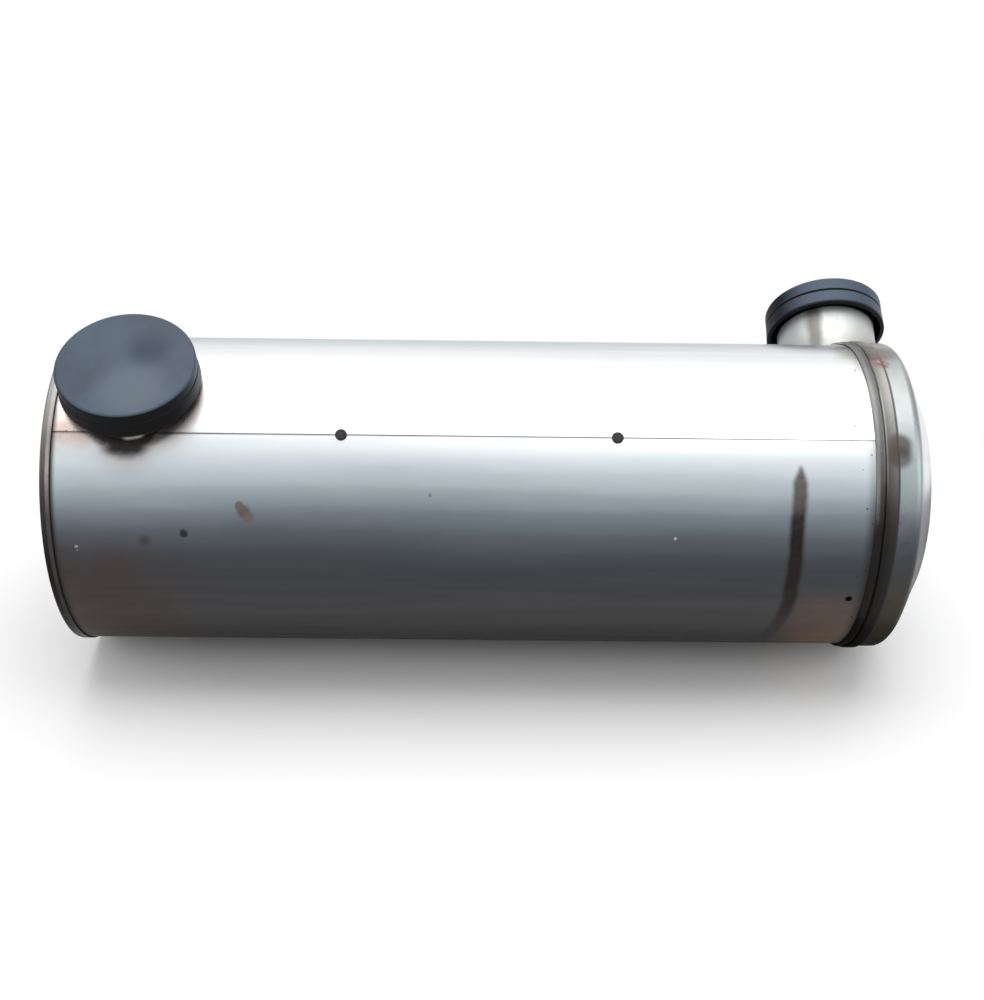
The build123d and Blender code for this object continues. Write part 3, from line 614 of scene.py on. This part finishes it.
COVER_STAINS = (
    (0.4408, 47.5, 0.0082, 0.0085, 0.92, (0.075, 0.068, 0.063)),
    (0.4403, 43.5, 0.0080, 0.0088, 0.92, (0.072, 0.062, 0.057)),
    (0.4385, 84.0, 0.0030, 0.010, 0.9, RUST), (0.4320, 89.0, 0.0035, 0.011, 0.9, RUST),
    (0.4320, 93.0, 0.0100, 0.018, 0.8, (0.095, 0.078, 0.068)),
    (0.4480, 94.0, 0.0080, 0.022, 0.7, (0.20, 0.18, 0.155)),
    (0.4800, 26.0, 0.0020, 0.007, 0.7, (0.10, 0.10, 0.11)),
)
HEM_END = COVER_START + 0.0125
CENTRE_RADIUS = 0.140
cover = Finish("stamped_cover_steel")
cover_x, cover_angle, cover_reach = measures(cover)
spun = cover.cloud(55, 4, (1, 0.3, 0.3), 0.6)
cover_clouds = cover.cloud(9, 5, rough=0.62)
cover_slope = slope_height(cover, cover_angle, cover_reach, CENTRE_RADIUS)
cover_height = cover.maths("ADD", cover_slope, cover.sway(cover_clouds, 18.0))
# Painted highlight on the upper part of the dome; the centre is painted a lighter grey.
raised_highlight = cover.mask((cover_reach, 0.161, 0.1715, 0.9, 0.0), (cover_height, 25.0, 40.0))
dome = cover.over(cover.ramp(cover_height, *DOME_PAINTED_REFLECTION_STEPS),
                  ((cover_reach, 0.108, 0.124, 0.55, 0.0), RAISED_PAINTED_LIGHT), (raised_highlight, RAISED_HIGHLIGHT))
dome = cover.tint(dome, cover.mix(spun, LINE_PALE, LINE_DARK))
dark_patches = cover.mask((cover.cloud(24, 5, rough=0.65), 0.55, 0.72, 0.0, 0.55),
                          (cover_height, 25.0, 55.0, 1.0, 0.1))
dome = cover.over(dome, (dark_patches, cover.tint(dome, PATCH_SHADE)))
# Painted shade across the hem: darker by the weld, lighter outwards.
rim_painted_shade = cover.between(cover_x, COVER_START, HEM_END - 0.002, 0.80, 1.30)
# Painted light and shade in the crease by the weld: light above, dark below.
rim_painted_tone = cover.mix(cover.between(cover_height, 24.0, 50.0), RIM_PAINTED_DARK, RIM_PAINTED_LIGHT)
rim_line = cover.mask((cover_x, COVER_START + 0.0004, COVER_START + 0.0024, 0.6, 0.0),
                      (cover_height, 2.0, 16.0))
hem_colour = cover.tint(cover.ramp(cover_height, *HEM_PAINTED_REFLECTION_STEPS), rim_painted_shade)
hem_colour = cover.over(hem_colour, (rim_line, rim_painted_tone))
hem = cover.between(cover_x, HEM_END - 0.0005, HEM_END + 0.0008, 1.0, 0.0)
gap_line = cover.mask(band(cover, cover_x, HEM_END + 0.0006, 0.0006, 0.0014), 0.85)
cover_colour = cover.over(dome, (hem, hem_colour), (gap_line, DIRT))
stain_noise = cover.between(cover.cloud(38, 2), 0.25, 0.60, 0.75, 1.0)
rust_noise = cover.between(cover.cloud(120, 4, rough=0.7), 0.42, 0.55)
for x, angle, radius, soft, depth, colour in COVER_STAINS:
    stain = near_point(cover, around(x, angle, COVER_RADIUS), radius, soft)
    breakup = rust_noise if colour is RUST else stain_noise
    cover_colour = cover.over(cover_colour, (cover.mask(stain, breakup, depth), colour))
cover_dull = cover.between(cover_clouds, 0.3, 0.7, 0.36, 0.52)
cover_low_part = cover.between(cover_height, 12.0, 52.0, 1.0, 0.0)
cover_waves = cover.relief(cover.cloud(10, 2), 0.0008)
cover.coat(colour=cover_colour, rough=cover.maths("ADD", cover_dull, cover.mask(hem, 0.12)),
           metal=cover.mask((cover_low_part, 0.0, 1.0, 1.0, 0.75), (cover_height, -26.0, 0.0, 0.15, 1.0)),
           shine=cover.between(cover_height, -26.0, 0.0, 0.0, 0.15),
           normal=cover.relief(spun, 0.00012, 0.6, cover_waves))
cover.wear("end_cover")

# %% [markdown]
# A weld in air oxidises: brown and blue-grey skin over a rippled bead. The front of the inlet's bead
# carries a painted highlight, and the rest of that bead is dark with soot and the cap's painted shadow.
# One finish serves every bead. Like the sheet beside it, a bead is painted lighter above and almost
# black below, as a painted reflection. At the ring's toe the crease is painted light above and dark
# below.

# %% Make the oxidised weld finish
# Painted reflection: the beads darken by height.
WELD_PAINTED_REFLECTION_STEPS = (
    (-40.0, (0.003, 0.0027, 0.002)), (-18.0, (0.008, 0.0075, 0.006)), (6.0, (0.016, 0.0155, 0.015)),
    (14.0, (0.017, 0.0165, 0.016)), (21.0, (0.024, 0.021, 0.020)),
    (28.0, (0.044, 0.039, 0.034)), (35.0, (0.080, 0.077, 0.075)), (45.0, (0.100, 0.100, 0.099)),
    (57.0, (0.118, 0.118, 0.116)), (72.0, (0.125, 0.125, 0.122)), (84.0, (0.120, 0.115, 0.110)),
)
WELD_BROWN = (0.085, 0.058, 0.048)
TOE_PAINTED_DARK = (0.030, 0.025, 0.022)
TOE_PAINTED_LIGHT = (0.27, 0.27, 0.26)
HEEL_PALE = (0.21, 0.215, 0.215)
CAP_SOOT_AND_SHADOW = (0.012, 0.009, 0.008)
BEAD_HIGHLIGHT = (0.34, 0.33, 0.30)
weld = Finish("oxidised_weld")
weld_x, weld_angle, _ = measures(weld)
weld_clouds = weld.cloud(38, 5, rough=0.65)
weld_height = weld.maths("ADD", slope_height(weld, weld_angle), weld.sway(weld_clouds, 20.0))
rust_patches = weld.mask((weld.cloud(17, 4, rough=0.6), 0.56, 0.70),
                         (weld_height, 15.0, 45.0, 0.15, 0.6))
# Painted light and shade in the crease at the toe: light above, dark below.
toe = weld.mask((weld_x, WELD_END - 0.0028, WELD_END - 0.0008, 0.0, 0.6),
                (weld_x, WELD_END, WELD_END + 0.0006, 1.0, 0.0), (weld_height, 2.0, 16.0))
toe_painted_tone = weld.mix(weld.between(weld_height, 24.0, 50.0), TOE_PAINTED_DARK, TOE_PAINTED_LIGHT)
heel = weld.mask(band(weld, weld_x, WELD_START, 0.0022, 0.0026), (weld_height, 18.0, 32.0, 0.0, 0.65))
# Soot and the cap's painted shadow darken the inlet bead.
bead_away = near_port(weld, INLET_X, INLET_ANGLE)
# Painted highlight on the front of the inlet's bead.
bead_highlight = weld.mask(band(weld, bead_away, 0.0636, 0.0006, 0.0011),
                band(weld, weld_x, INLET_X + 0.009, 0.005, 0.008), (weld_angle, 49.0, 51.0, 0.9, 0.0))
weld_colour = weld.over(
    weld.ramp(weld_height, *WELD_PAINTED_REFLECTION_STEPS), (rust_patches, WELD_BROWN), (toe, toe_painted_tone),
    (heel, HEEL_PALE), ((bead_away, 0.072, 0.085, 0.92, 0.0), CAP_SOOT_AND_SHADOW), (bead_highlight, BEAD_HIGHLIGHT),
)
weld.coat(colour=weld_colour, rough=weld.between(weld_clouds, 0.3, 0.7, 0.40, 0.58),
          metal=weld.between(weld_height, -26.0, 0.0, 0.2, 0.85),
          shine=weld.between(weld_height, -26.0, 0.0, 0.0, 0.2),
          normal=weld.relief(weld.cloud(180, 4, rough=0.6), 0.0004, 0.8))
weld.wear("inlet_weld", "outlet_weld", "cover_weld_ring")

# %% [markdown]
# The port tubes are rolled stainless with one lengthwise weld, whose heat left a brown streak with
# grey edges. A straw halo lies where they meet the can. The tube's side towards the left end is
# painted darker, as painted shade. Under the outlet cap's rim the tube is painted black, as the cap's
# painted shadow. The clamp flange that the cap hides is black with old soot.

# %% Finish the port tubes and their flanges
COLLAR_REACH = 0.2225
STREAK_X = OUTLET_X - 0.0262
TUBE_STEEL = (0.52, 0.54, 0.535)
TUBE_SHADE = (0.46, 0.475, 0.47)
TUBE_STRAW = (0.38, 0.375, 0.31)
TUBE_WARM = (0.46, 0.42, 0.37)
STREAK_EDGE = (0.25, 0.255, 0.24)
STREAK_CORE = (0.155, 0.153, 0.140)
TUBE_SIDE_SHADE = (0.22, 0.24, 0.24)
COLLAR_SHADOW = (0.006, 0.007, 0.008)
tube = Finish("rolled_tube_steel")
tube_x, _, tube_reach = measures(tube)
tube_streaks = tube.cloud(70, 4, (1, 0.3, 0.3), 0.6)
tube_clouds = tube.cloud(22, 4, rough=0.6)
root = tube.mask((tube_reach, BARREL_RADIUS + 0.010, BARREL_RADIUS + 0.036, 0.9, 0.0),
                 (tube_clouds, 0.3, 0.65, 0.6, 1.0))
streak_x = tube.maths("ADD", tube_x, tube.sway(tube.cloud(60, 2), 0.005))
streak_edge = tube.mask(band(tube, streak_x, STREAK_X, 0.0050, 0.0075), 0.85)
streak_core = tube.mask(band(tube, streak_x, STREAK_X, 0.0025, 0.0050), 0.85)
# Painted shade on the tube's side towards the left end.
near_side_shade = tube.mask((tube_x, OUTLET_X - TUBE_RADIUS, STREAK_X - 0.004, 1.0, 0.0), 0.35)
# Painted shadow of the outlet cap's rim on the tube.
collar_shadow = port_height(tube, OUTLET_X, OUTLET_ANGLE)
collar_shadow = tube.between(collar_shadow, COLLAR_REACH - 0.002, COLLAR_REACH + 0.001)
tube_colour = tube.over(
    TUBE_STEEL, ((tube_streaks, 0.3, 0.8), TUBE_SHADE), (root, TUBE_STRAW),
    ((tube_clouds, 0.55, 0.75, 0.0, 0.3), TUBE_WARM), (streak_edge, STREAK_EDGE),
    (streak_core, STREAK_CORE), (near_side_shade, TUBE_SIDE_SHADE), (collar_shadow, COLLAR_SHADOW),
)
tube.coat(colour=tube_colour, rough=tube.between(tube_streaks, 0.3, 0.8, 0.48, 0.62), metal=0.8,
          normal=tube.relief(tube_streaks, 0.0001, 0.6))
tube.wear("inlet_tube", "outlet_tube")
flange = Finish("sooty_flange_steel")
flange_soot = flange.cloud(90, 4, rough=0.6)
flange_patches = flange.between(flange_soot, 0.35, 0.7)
flange.coat(colour=flange.mix(flange_patches, (0.010, 0.010, 0.011), (0.045, 0.040, 0.036)),
            rough=flange.between(flange_soot, 0.3, 0.7, 0.60, 0.80), metal=0.5,
            normal=flange.relief(flange_soot, 0.0003, 0.7))
flange.wear("inlet_flange", "outlet_flange")

# %% [markdown]
# The shipping caps are soft moulded plastic, nearly black and matt. Whatever faces up is slate grey,
# partly from dust that settles there and partly as painted light from above, so the mask is how far
# the surface faces up. The groove round each cap is kept dark as painted shade, and the outlet cap's
# lowest rim is painted black as painted shade. Shallow mottling from the mould breaks the highlight.

# %% Finish the plastic caps
INLET_UP = direction(INLET_ANGLE + 90)
INLET_FACE = around(INLET_X, INLET_ANGLE, 0.2055)
FACE_MARKS = (
    (0.012, -0.036, 0.014, 0.036, (0.068, 0.094, 0.122)),
    (0.023, 0.022, 0.006, 0.028, (0.006, 0.020, 0.040)),
)
GROOVES = ((INLET_X, INLET_ANGLE, 0.1916), (OUTLET_X, OUTLET_ANGLE, 0.2381))
DUST_AND_LIGHT_SIDE = (0.28, -0.10, 0.96)
LIP_REACH = 0.2205
LIP_SHADE_BLACK = (0.004, 0.006, 0.008)
CAP_BLACK = (0.0045, 0.0045, 0.0050)
DUST_AND_LIGHT_DARK = (0.0215, 0.0375, 0.063)
DUST_AND_LIGHT_PALE = (0.0385, 0.062, 0.093)
SCUFF_PALE = (0.09, 0.11, 0.13)
cap = Finish("slate_cap_plastic")
cap_x, _, _ = measures(cap)
cap_clouds = cap.cloud(13, 4, rough=0.55)
cap_grain = cap.cloud(900, 2)
cap_scuffs = cap.cloud(110, 3, (1, 0.2, 0.2), 0.7)
# Dust and painted light from above on whatever faces up.
dust_and_top_light = cap.mask((facing(cap, DUST_AND_LIGHT_SIDE), 0.12, 0.62), (cap_clouds, 0.2, 0.6, 0.80, 1.0))
for x, angle, reach in GROOVES:
    # Painted shade in the groove round each cap.
    groove_shade = band(cap, port_height(cap, x, angle), reach, 0.0013, 0.0006)
    groove_shade = cap.mask(groove_shade, band(cap, cap_x, x, 0.1, 0.1))
    dust_and_top_light = cap.mask(dust_and_top_light, (groove_shade, 0.0, 1.0, 1.0, 0.15))
dusty_and_lit = cap.over(DUST_AND_LIGHT_DARK, ((cap_clouds, 0.35, 0.65), DUST_AND_LIGHT_PALE),
                 ((cap_scuffs, 0.66, 0.82, 0.0, 0.5), SCUFF_PALE))
for along, up, radius, soft, colour in FACE_MARKS:
    place = INLET_FACE + Vector((along, 0, 0)) + INLET_UP * up
    dusty_and_lit = cap.over(dusty_and_lit, (near_point(cap, place, radius, soft), colour))
# Painted shade: the outlet cap's lowest rim is painted black.
cap_lip_shade = cap.mask((port_height(cap, OUTLET_X, OUTLET_ANGLE), LIP_REACH, LIP_REACH + 0.004, 1.0, 0.0),
               (cap_x, 0.0, 0.1))
cap_shine = cap.mask(dust_and_top_light, cap.maths("SUBTRACT", 1.0, cap_lip_shade))
cap.coat(colour=cap.over(CAP_BLACK, (dust_and_top_light, dusty_and_lit), (cap_lip_shade, LIP_SHADE_BLACK)),
         rough=cap.between(cap_clouds, 0.3, 0.7, 0.42, 0.54),
         shine=cap.between(cap_shine, 0.0, 1.0, 0.08, 0.32),
         normal=cap.relief(cap_grain, 0.00005, 0.7, cap.relief(cap_clouds, 0.0008, 0.6)))
cap.wear("inlet_cap", "outlet_cap")

# %% [markdown]
# The seam's rivets are blackened by heat and dirt, and worn a little brighter in patches.

# %% Finish the rivets
rivet = Finish("blackened_rivet")
rivet_clouds = rivet.cloud(240, 4, rough=0.6)
rivet_worn = rivet.between(rivet_clouds, 0.4, 0.7)
rivet.coat(colour=rivet.mix(rivet_worn, (0.012, 0.012, 0.013), (0.035, 0.034, 0.035)), metal=0.6,
           rough=rivet.between(rivet_clouds, 0.3, 0.7, 0.40, 0.60),
           normal=rivet.relief(rivet_clouds, 0.0003, 0.7))
rivet.wear("seam_rivets")

# %% [markdown]
# Nobody sees the inside until the can is cut open, but it is finished too: mill-grey sheet with
# a heat tint, cream ceramic with its square cells, and white fibre mats with short hairs. The
# fibre is blackened where water came in at the drain hole.

# %% Finish the inner sheet parts
inner = Finish("inner_mill_sheet")
inner_lines = inner.cloud(80, 4, (0.1, 1, 1), 0.6)
inner_grey = inner.mix(inner.between(inner_lines, 0.3, 0.8), (0.50, 0.50, 0.49), (0.36, 0.36, 0.35))
inner.coat(colour=inner.over(inner_grey, ((inner.cloud(5, 3), 0.4, 0.7), (0.34, 0.26, 0.19))),
           rough=inner.between(inner_lines, 0.3, 0.8, 0.32, 0.48), metal=1.0,
           normal=inner.relief(inner_lines, 0.0001, 0.6))
inner.wear("inner_can", "inner_head", "blanket_stop", "inlet_diffuser", "flow_plate", "outlet_plate",
           *[name for name in nodes if name.startswith(("mat_ring", "spacer"))])

# %% Finish the ceramic bricks and the fibre
CELL_PITCH = 0.00127
ceramic = Finish("cream_honeycomb_ceramic")
cell_split = ceramic.add("ShaderNodeSeparateXYZ")
ceramic.feed(cell_split.inputs[0], ceramic.place)
cell_walls = []
for across in cell_split.outputs[1:]:
    wave = ceramic.maths("PINGPONG", across, CELL_PITCH / 2)
    cell_walls.append(ceramic.between(wave, 0.0001, 0.0002, 1.0, 0.0))
wall = ceramic.maths("MAXIMUM", *cell_walls)
wash = ceramic.between(ceramic.cloud(12, 4), 0.3, 0.7)
wash_coat = ceramic.mix(wash, (0.70, 0.60, 0.42), (0.58, 0.47, 0.31))
ceramic.coat(colour=ceramic.mix(wall, (0.10, 0.08, 0.06), wash_coat), rough=0.85,
             normal=ceramic.relief(wall, 0.0004, 0.8))
ceramic.wear(*[name for name in nodes if name.startswith("brick")])

fibre = Finish("white_fibre_mat")
hairs = fibre.cloud(500, 4, (0.2, 1, 1), 0.7)
tufts = fibre.cloud(60, 4, rough=0.6)
fibre_colour = fibre.mix(tufts, (0.86, 0.85, 0.81), (0.70, 0.68, 0.62))
drip = near_point(fibre, DRAIN, 0.012, 0.008)
fibre.coat(colour=fibre.over(fibre_colour, (drip, DRAIN_BLACK)), rough=0.95,
           normal=fibre.relief(hairs, 0.0006, 0.8, fibre.relief(tufts, 0.001, 0.6)))
fibre.wear("head_pad", *[f"{kind}_{number}" for kind in ("mat", "blanket") for number in (1, 2, 3)])

# %% [markdown]
# A weld bead is a row of frozen puddles: each ripple is where the arc paused for a moment. The
# plain weld solids can't show that, so three meshes take their place. A bead is built as a row
# of cross-sections along a path, and a wave along the path swells each section a little. The wave
# leans forward in the middle of the bead, which gives ripples their curved, chevron look.

# %% Write the helpers that build a rippled bead
RIPPLE_PITCH = 0.0034
CHEVRON = 0.55
random.seed(11)


def add_piece(name, vertices, faces, finish, slot, *stands_for):
    """A smooth mesh object that rides on the can, with its finish and the nodes it stands for."""
    mesh = bpy.data.meshes.new(name)
    mesh.from_pydata(vertices, [], faces)
    mesh.polygons.foreach_set("use_smooth", [True] * len(mesh.polygons))
    mesh.materials.append(finish.material)
    piece = bpy.data.objects.new(name, mesh)
    bpy.context.scene.collection.objects.link(piece)
    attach(piece, "root")
    if stands_for:
        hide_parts(*stands_for)
    print(name, len(vertices), "points", len(faces), "faces")


def ripple(along, across):
    """The swelling of a bead at a length along it and a place across it, which is 0 at its crest."""
    puddle = (along / RIPPLE_PITCH + CHEVRON * across * across) % 1.0
    uneven = noise.noise(Vector((along * 160, across, 3.7)))
    strength = 0.35 + 0.9 * abs(noise.noise(Vector((along * 23, 0.5 * across, 9.1))))
    return strength * ((1.0 - puddle) ** 0.7 * 0.9 - 0.45) + 0.6 * uneven


def grid_faces(rows, columns, loop_rows=False, loop_columns=False, keep=None):
    """The quads of a grid of points, wrapped round where asked."""
    faces = []
    for i in range(rows if loop_rows else rows - 1):
        for j in range(columns if loop_columns else columns - 1):
            quad = (i * columns + j, i * columns + (j + 1) % columns,
                    (i + 1) % rows * columns + (j + 1) % columns, (i + 1) % rows * columns + j)
            if keep is None or all(keep[point] for point in quad):
                faces.append(quad)
    return faces


print("ripples every", RIPPLE_PITCH, "m")

# %% [markdown]
# A port's bead follows the joint of two curved bodies. Rays find that joint without any algebra:
# one is sent down beside the tube at every half degree until it hits the can, and the places
# where they land are the path. It is smoothed, because a real bead cuts small corners, and more
# so at the outlet, whose joint crosses three surfaces.

# %% Find the paths of the port beads
PATH_SAMPLES = 720
START_REACH = 0.26
BEAD_GAP = 0.0016
INLET_SMOOTHING = 4
OUTLET_SMOOTHING = 14


def skin_tree(*names):
    """A search tree over the faces of several solids."""
    points, faces = [], []
    for name in names:
        start = len(points)
        mesh = nodes[name].data
        points += [vertex.co.copy() for vertex in mesh.vertices]
        faces += [[start + index for index in polygon.vertices] for polygon in mesh.polygons]
    return BVHTree.FromPolygons(points, faces)


SKIN = skin_tree("outer_wrap", "end_cover", "cover_weld_ring")


def port_path(x, angle, smoothing):
    """Points round a port tube where rays beside it land on the can's skin."""
    axis = direction(angle)
    along = Vector((1, 0, 0))
    side = axis.cross(along)
    depths, starts = [], []
    for step in range(PATH_SAMPLES):
        turn = math.tau * step / PATH_SAMPLES
        spoke = along * math.cos(turn) + side * math.sin(turn)
        start = Vector((x, 0, 0)) + spoke * (TUBE_RADIUS + BEAD_GAP) + axis * START_REACH
        depths.append((SKIN.ray_cast(start, -axis)[0] - start).length)
        starts.append((start, spoke))
    for _ in range(smoothing):
        depths = [(depths[i - 1] + depths[i] + depths[(i + 1) % PATH_SAMPLES]) / 3
                  for i in range(PATH_SAMPLES)]
    return [(start - axis * depth, spoke) for (start, spoke), depth in zip(starts, depths)]


inlet_path = port_path(INLET_X, INLET_ANGLE, INLET_SMOOTHING)
outlet_path = port_path(OUTLET_X, OUTLET_ANGLE, OUTLET_SMOOTHING)
print("paths of", len(inlet_path), "and", len(outlet_path), "points")

# %% [markdown]
# Each section of a port's bead is a circle half sunk in the joint. The path is walked in even
# steps, so that ripples have the same length where it curves. A ripple stands about a quarter of
# a millimetre high.

# %% Lay the port beads
BEAD_RADIUS = 0.0046
BEAD_LIFT = 0.0010
BEAD_SIDES = 16
BEAD_STEPS_PER_RIPPLE = 7
RIPPLE_HEIGHT = 0.00055


def port_bead(name, path, node):
    """A closed rippled bead along a path round a port."""
    lengths = [(path[i][0] - path[i - 1][0]).length for i in range(PATH_SAMPLES)]
    total = sum(lengths)
    count = round(total / RIPPLE_PITCH) * BEAD_STEPS_PER_RIPPLE
    vertices, position, walked = [], 0, 0.0
    for step in range(count):
        goal = total * step / count
        while walked + lengths[(position + 1) % PATH_SAMPLES] < goal:
            position += 1
            walked += lengths[position % PATH_SAMPLES]
        share = (goal - walked) / lengths[(position + 1) % PATH_SAMPLES]
        here, after = path[position % PATH_SAMPLES], path[(position + 1) % PATH_SAMPLES]
        centre = here[0].lerp(after[0], share)
        tangent = (after[0] - here[0]).normalized()
        out = (here[1] - tangent * here[1].dot(tangent)).normalized()
        up = out.cross(tangent)
        if up.dot(centre * Vector((0, 1, 1))) < 0:
            up = -up
        centre += up * BEAD_LIFT
        for side in range(BEAD_SIDES):
            turn = math.tau * side / BEAD_SIDES
            across = 1.0 - math.cos(turn - math.pi / 4)
            size = BEAD_RADIUS + RIPPLE_HEIGHT * ripple(goal, across)
            vertices.append(centre + (out * math.cos(turn) + up * math.sin(turn)) * size)
    faces = grid_faces(count, BEAD_SIDES, True, True)
    add_piece(name, vertices, faces, weld, "weld_metal", node)


port_bead("inlet_bead", inlet_path, "inlet_weld")
port_bead("outlet_bead", outlet_path, "outlet_weld")

# %% [markdown]
# The ring weld joins the wrap to the cover's hem all round, in one long pass. Its section is
# flat and wide. Points that fall inside the outlet tube are dropped, as the welder had to stop
# and start again on each side of it, and the port's own bead covers both ends.

# %% Lay the ring weld
RING_WIDTH = WELD_END - WELD_START
RING_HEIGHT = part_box("cover_weld_ring")[1].z - BARREL_RADIUS
RING_COLUMNS = 12
RING_RIPPLE = 0.00042
RING_STEPS_PER_RIPPLE = 6
RING_LOWEST = 0.00005
RING_WANDER = 0.0006
TUBE_CLEARANCE = 0.0012
ring_length = math.tau * BARREL_RADIUS
ring_count = round(ring_length / RIPPLE_PITCH) * RING_STEPS_PER_RIPPLE
outlet_axis = direction(OUTLET_ANGLE)
ring_points, ring_keep = [], []
for row in range(ring_count):
    turn_share = row / ring_count
    for column in range(RING_COLUMNS):
        across = column / (RING_COLUMNS - 1)
        profile = math.sin(math.pi * (0.04 + 0.78 * across)) ** 0.6
        swell = ripple(turn_share * ring_length, 2 * across - 1)
        wander = RING_WANDER * noise.noise(Vector((turn_share * 90, 0.3, across * 0.5)))
        height = RING_HEIGHT * 0.86 * profile + RING_RIPPLE * swell * profile
        height = min(max(height, RING_LOWEST), RING_HEIGHT)
        x = WELD_START + RING_WIDTH * across + (wander if 0 < across < 1 else 0.0)
        place = around(x, 360 * turn_share - 180, BARREL_RADIUS + height)
        ring_points.append(place)
        beside = place - Vector((OUTLET_X, 0, 0))
        along = beside.dot(outlet_axis)
        inside_tube = (beside - outlet_axis * along).length < TUBE_RADIUS + TUBE_CLEARANCE
        ring_keep.append(not (inside_tube and along > 0))
ring_faces = grid_faces(ring_count, RING_COLUMNS, loop_rows=True, keep=ring_keep)
add_piece("ring_weld", ring_points, ring_faces, weld, "weld_metal", "cover_weld_ring")

# %% [markdown]
# A bead throws off tiny drops that freeze where they land. A few dozen small half-sunk drops near
# the welds do that job; they share one mesh, so that they count as one piece.

# %% Scatter weld spatter
RING_DROPS = 46
INLET_DROPS = 26
drop_points, drop_faces = [], []


def drop(x, angle, radius):
    """Adds a low six-sided dome on the barrel to the lists."""
    centre, up = around(x, angle), direction(angle)
    across = up.orthogonal().normalized()
    other = up.cross(across)
    start = len(drop_points)
    drop_points.append(centre + up * radius * 0.75)
    for level, (spread, height) in enumerate(((0.72, 0.5), (1.0, -0.1))):
        for corner in range(6):
            turn = math.tau * corner / 6 + level * 0.3
            outward = across * math.cos(turn) + other * math.sin(turn)
            drop_points.append(centre + (outward * spread + up * height) * radius)
    for corner in range(6):
        upper, lower, after = start + 1, start + 7, (corner + 1) % 6
        drop_faces.append((start, upper + corner, upper + after))
        drop_faces.append((upper + corner, lower + corner, lower + after, upper + after))


for _ in range(RING_DROPS):
    x = WELD_START - abs(random.gauss(0.0, 0.007)) - 0.001
    drop(x, random.uniform(-170, 170), random.uniform(0.0004, 0.0010))
for _ in range(INLET_DROPS):
    turn = random.uniform(0, math.tau)
    away = TUBE_RADIUS + 0.008 + abs(random.gauss(0.0, 0.010))
    x = INLET_X + away * math.cos(turn)
    angle = INLET_ANGLE + math.degrees(math.asin(away * math.sin(turn) / BARREL_RADIUS))
    if x > LIP_END + 0.002:
        drop(x, angle, random.uniform(0.0004, 0.0009))
add_piece("weld_spatter", drop_points, drop_faces, weld, "weld_metal")

# %% [markdown]
# A floor for a product picture is pale and plain. Close to the can it is an ordinary matt surface,
# so it takes the can's shadow. Further off it fades into a white that glows at strength 1 for the
# camera and for mirrors, which hides where the floor ends without adding light to the can.

# %% Lay the pale floor
FLOOR_HALF = 12.0
FLOOR_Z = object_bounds()[0][2] - 0.0002
floor_mesh = bpy.data.meshes.new("floor")
corners = [(a * FLOOR_HALF, b * FLOOR_HALF, FLOOR_Z) for a, b in ((-1, -1), (1, -1), (1, 1), (-1, 1))]
floor_mesh.from_pydata(corners, [], [(0, 1, 2, 3)])
floor = bpy.data.objects.new("floor", floor_mesh)
bpy.context.scene.collection.objects.link(floor)

paper = Finish("pale_floor")
paper.coat(colour=(0.86, 0.86, 0.86), rough=0.9)
rays = paper.add("ShaderNodeLightPath").outputs
glow = paper.add("ShaderNodeEmission")
seen = paper.maths("MAXIMUM", rays["Is Camera Ray"], rays["Is Glossy Ray"])
seen = paper.maths("MAXIMUM", seen, rays["Is Transmission Ray"])
far = paper.between(paper.vectors("LENGTH", paper.stretched((0.75, 1, 1))), 0.28, 0.80)
blend = paper.add("ShaderNodeMixShader")
blend_parts = (paper.mask(seen, far), paper.shader.outputs[0], glow.outputs[0])
for socket, part in zip(blend.inputs, blend_parts):
    paper.feed(socket, part)
paper.feed(paper.tree.nodes["Material Output"].inputs["Surface"], blend.outputs[0])
floor_mesh.materials.append(paper.material)
print("floor at z", round(FLOOR_Z, 4))

# %% [markdown]
# Soft light comes from large lamps. A broad one hangs above and a little behind, two gentle
# ones fill the sides, and the surroundings give an even grey light. For the camera and for
# reflections the surroundings are plain white.

# %% Hang the lamps and set the surroundings
LAMPS = (
    ("top_lamp", (0.1, 0.40, 2.2), (2.8, 2.3), 58.0),
    ("left_lamp", (-2.2, -1.2, 1.1), (1.4, 1.4), 12.0),
    ("right_lamp", (2.2, -0.9, 1.2), (1.4, 1.4), 12.0),
)
for name, place, size, power in LAMPS:
    lamp_data = bpy.data.lights.new(name, "AREA")
    lamp_data.shape = "RECTANGLE"
    lamp_data.size, lamp_data.size_y = size
    lamp_data.energy = power
    lamp = bpy.data.objects.new(name, lamp_data)
    lamp.location = place
    lamp.rotation_euler = Vector(place).to_track_quat("Z", "Y").to_euler()
    bpy.context.scene.collection.objects.link(lamp)

SKY_LIGHT = 0.55
world = bpy.data.worlds.new("studio")
world.use_nodes = True
bpy.context.scene.world = world
sky = Network(world.node_tree)
rays = sky.add("ShaderNodeLightPath").outputs
seen = sky.maths("MAXIMUM", rays["Is Camera Ray"], rays["Is Glossy Ray"])
background = sky.tree.nodes["Background"].inputs
background["Color"].default_value = (1, 1, 1, 1)
sky.feed(background["Strength"], sky.between(seen, 0.0, 1.0, SKY_LIGHT, 1.0, straight=True))
bpy.context.scene.view_settings.view_transform = "Standard"
print(len(LAMPS), "lamps and white surroundings")
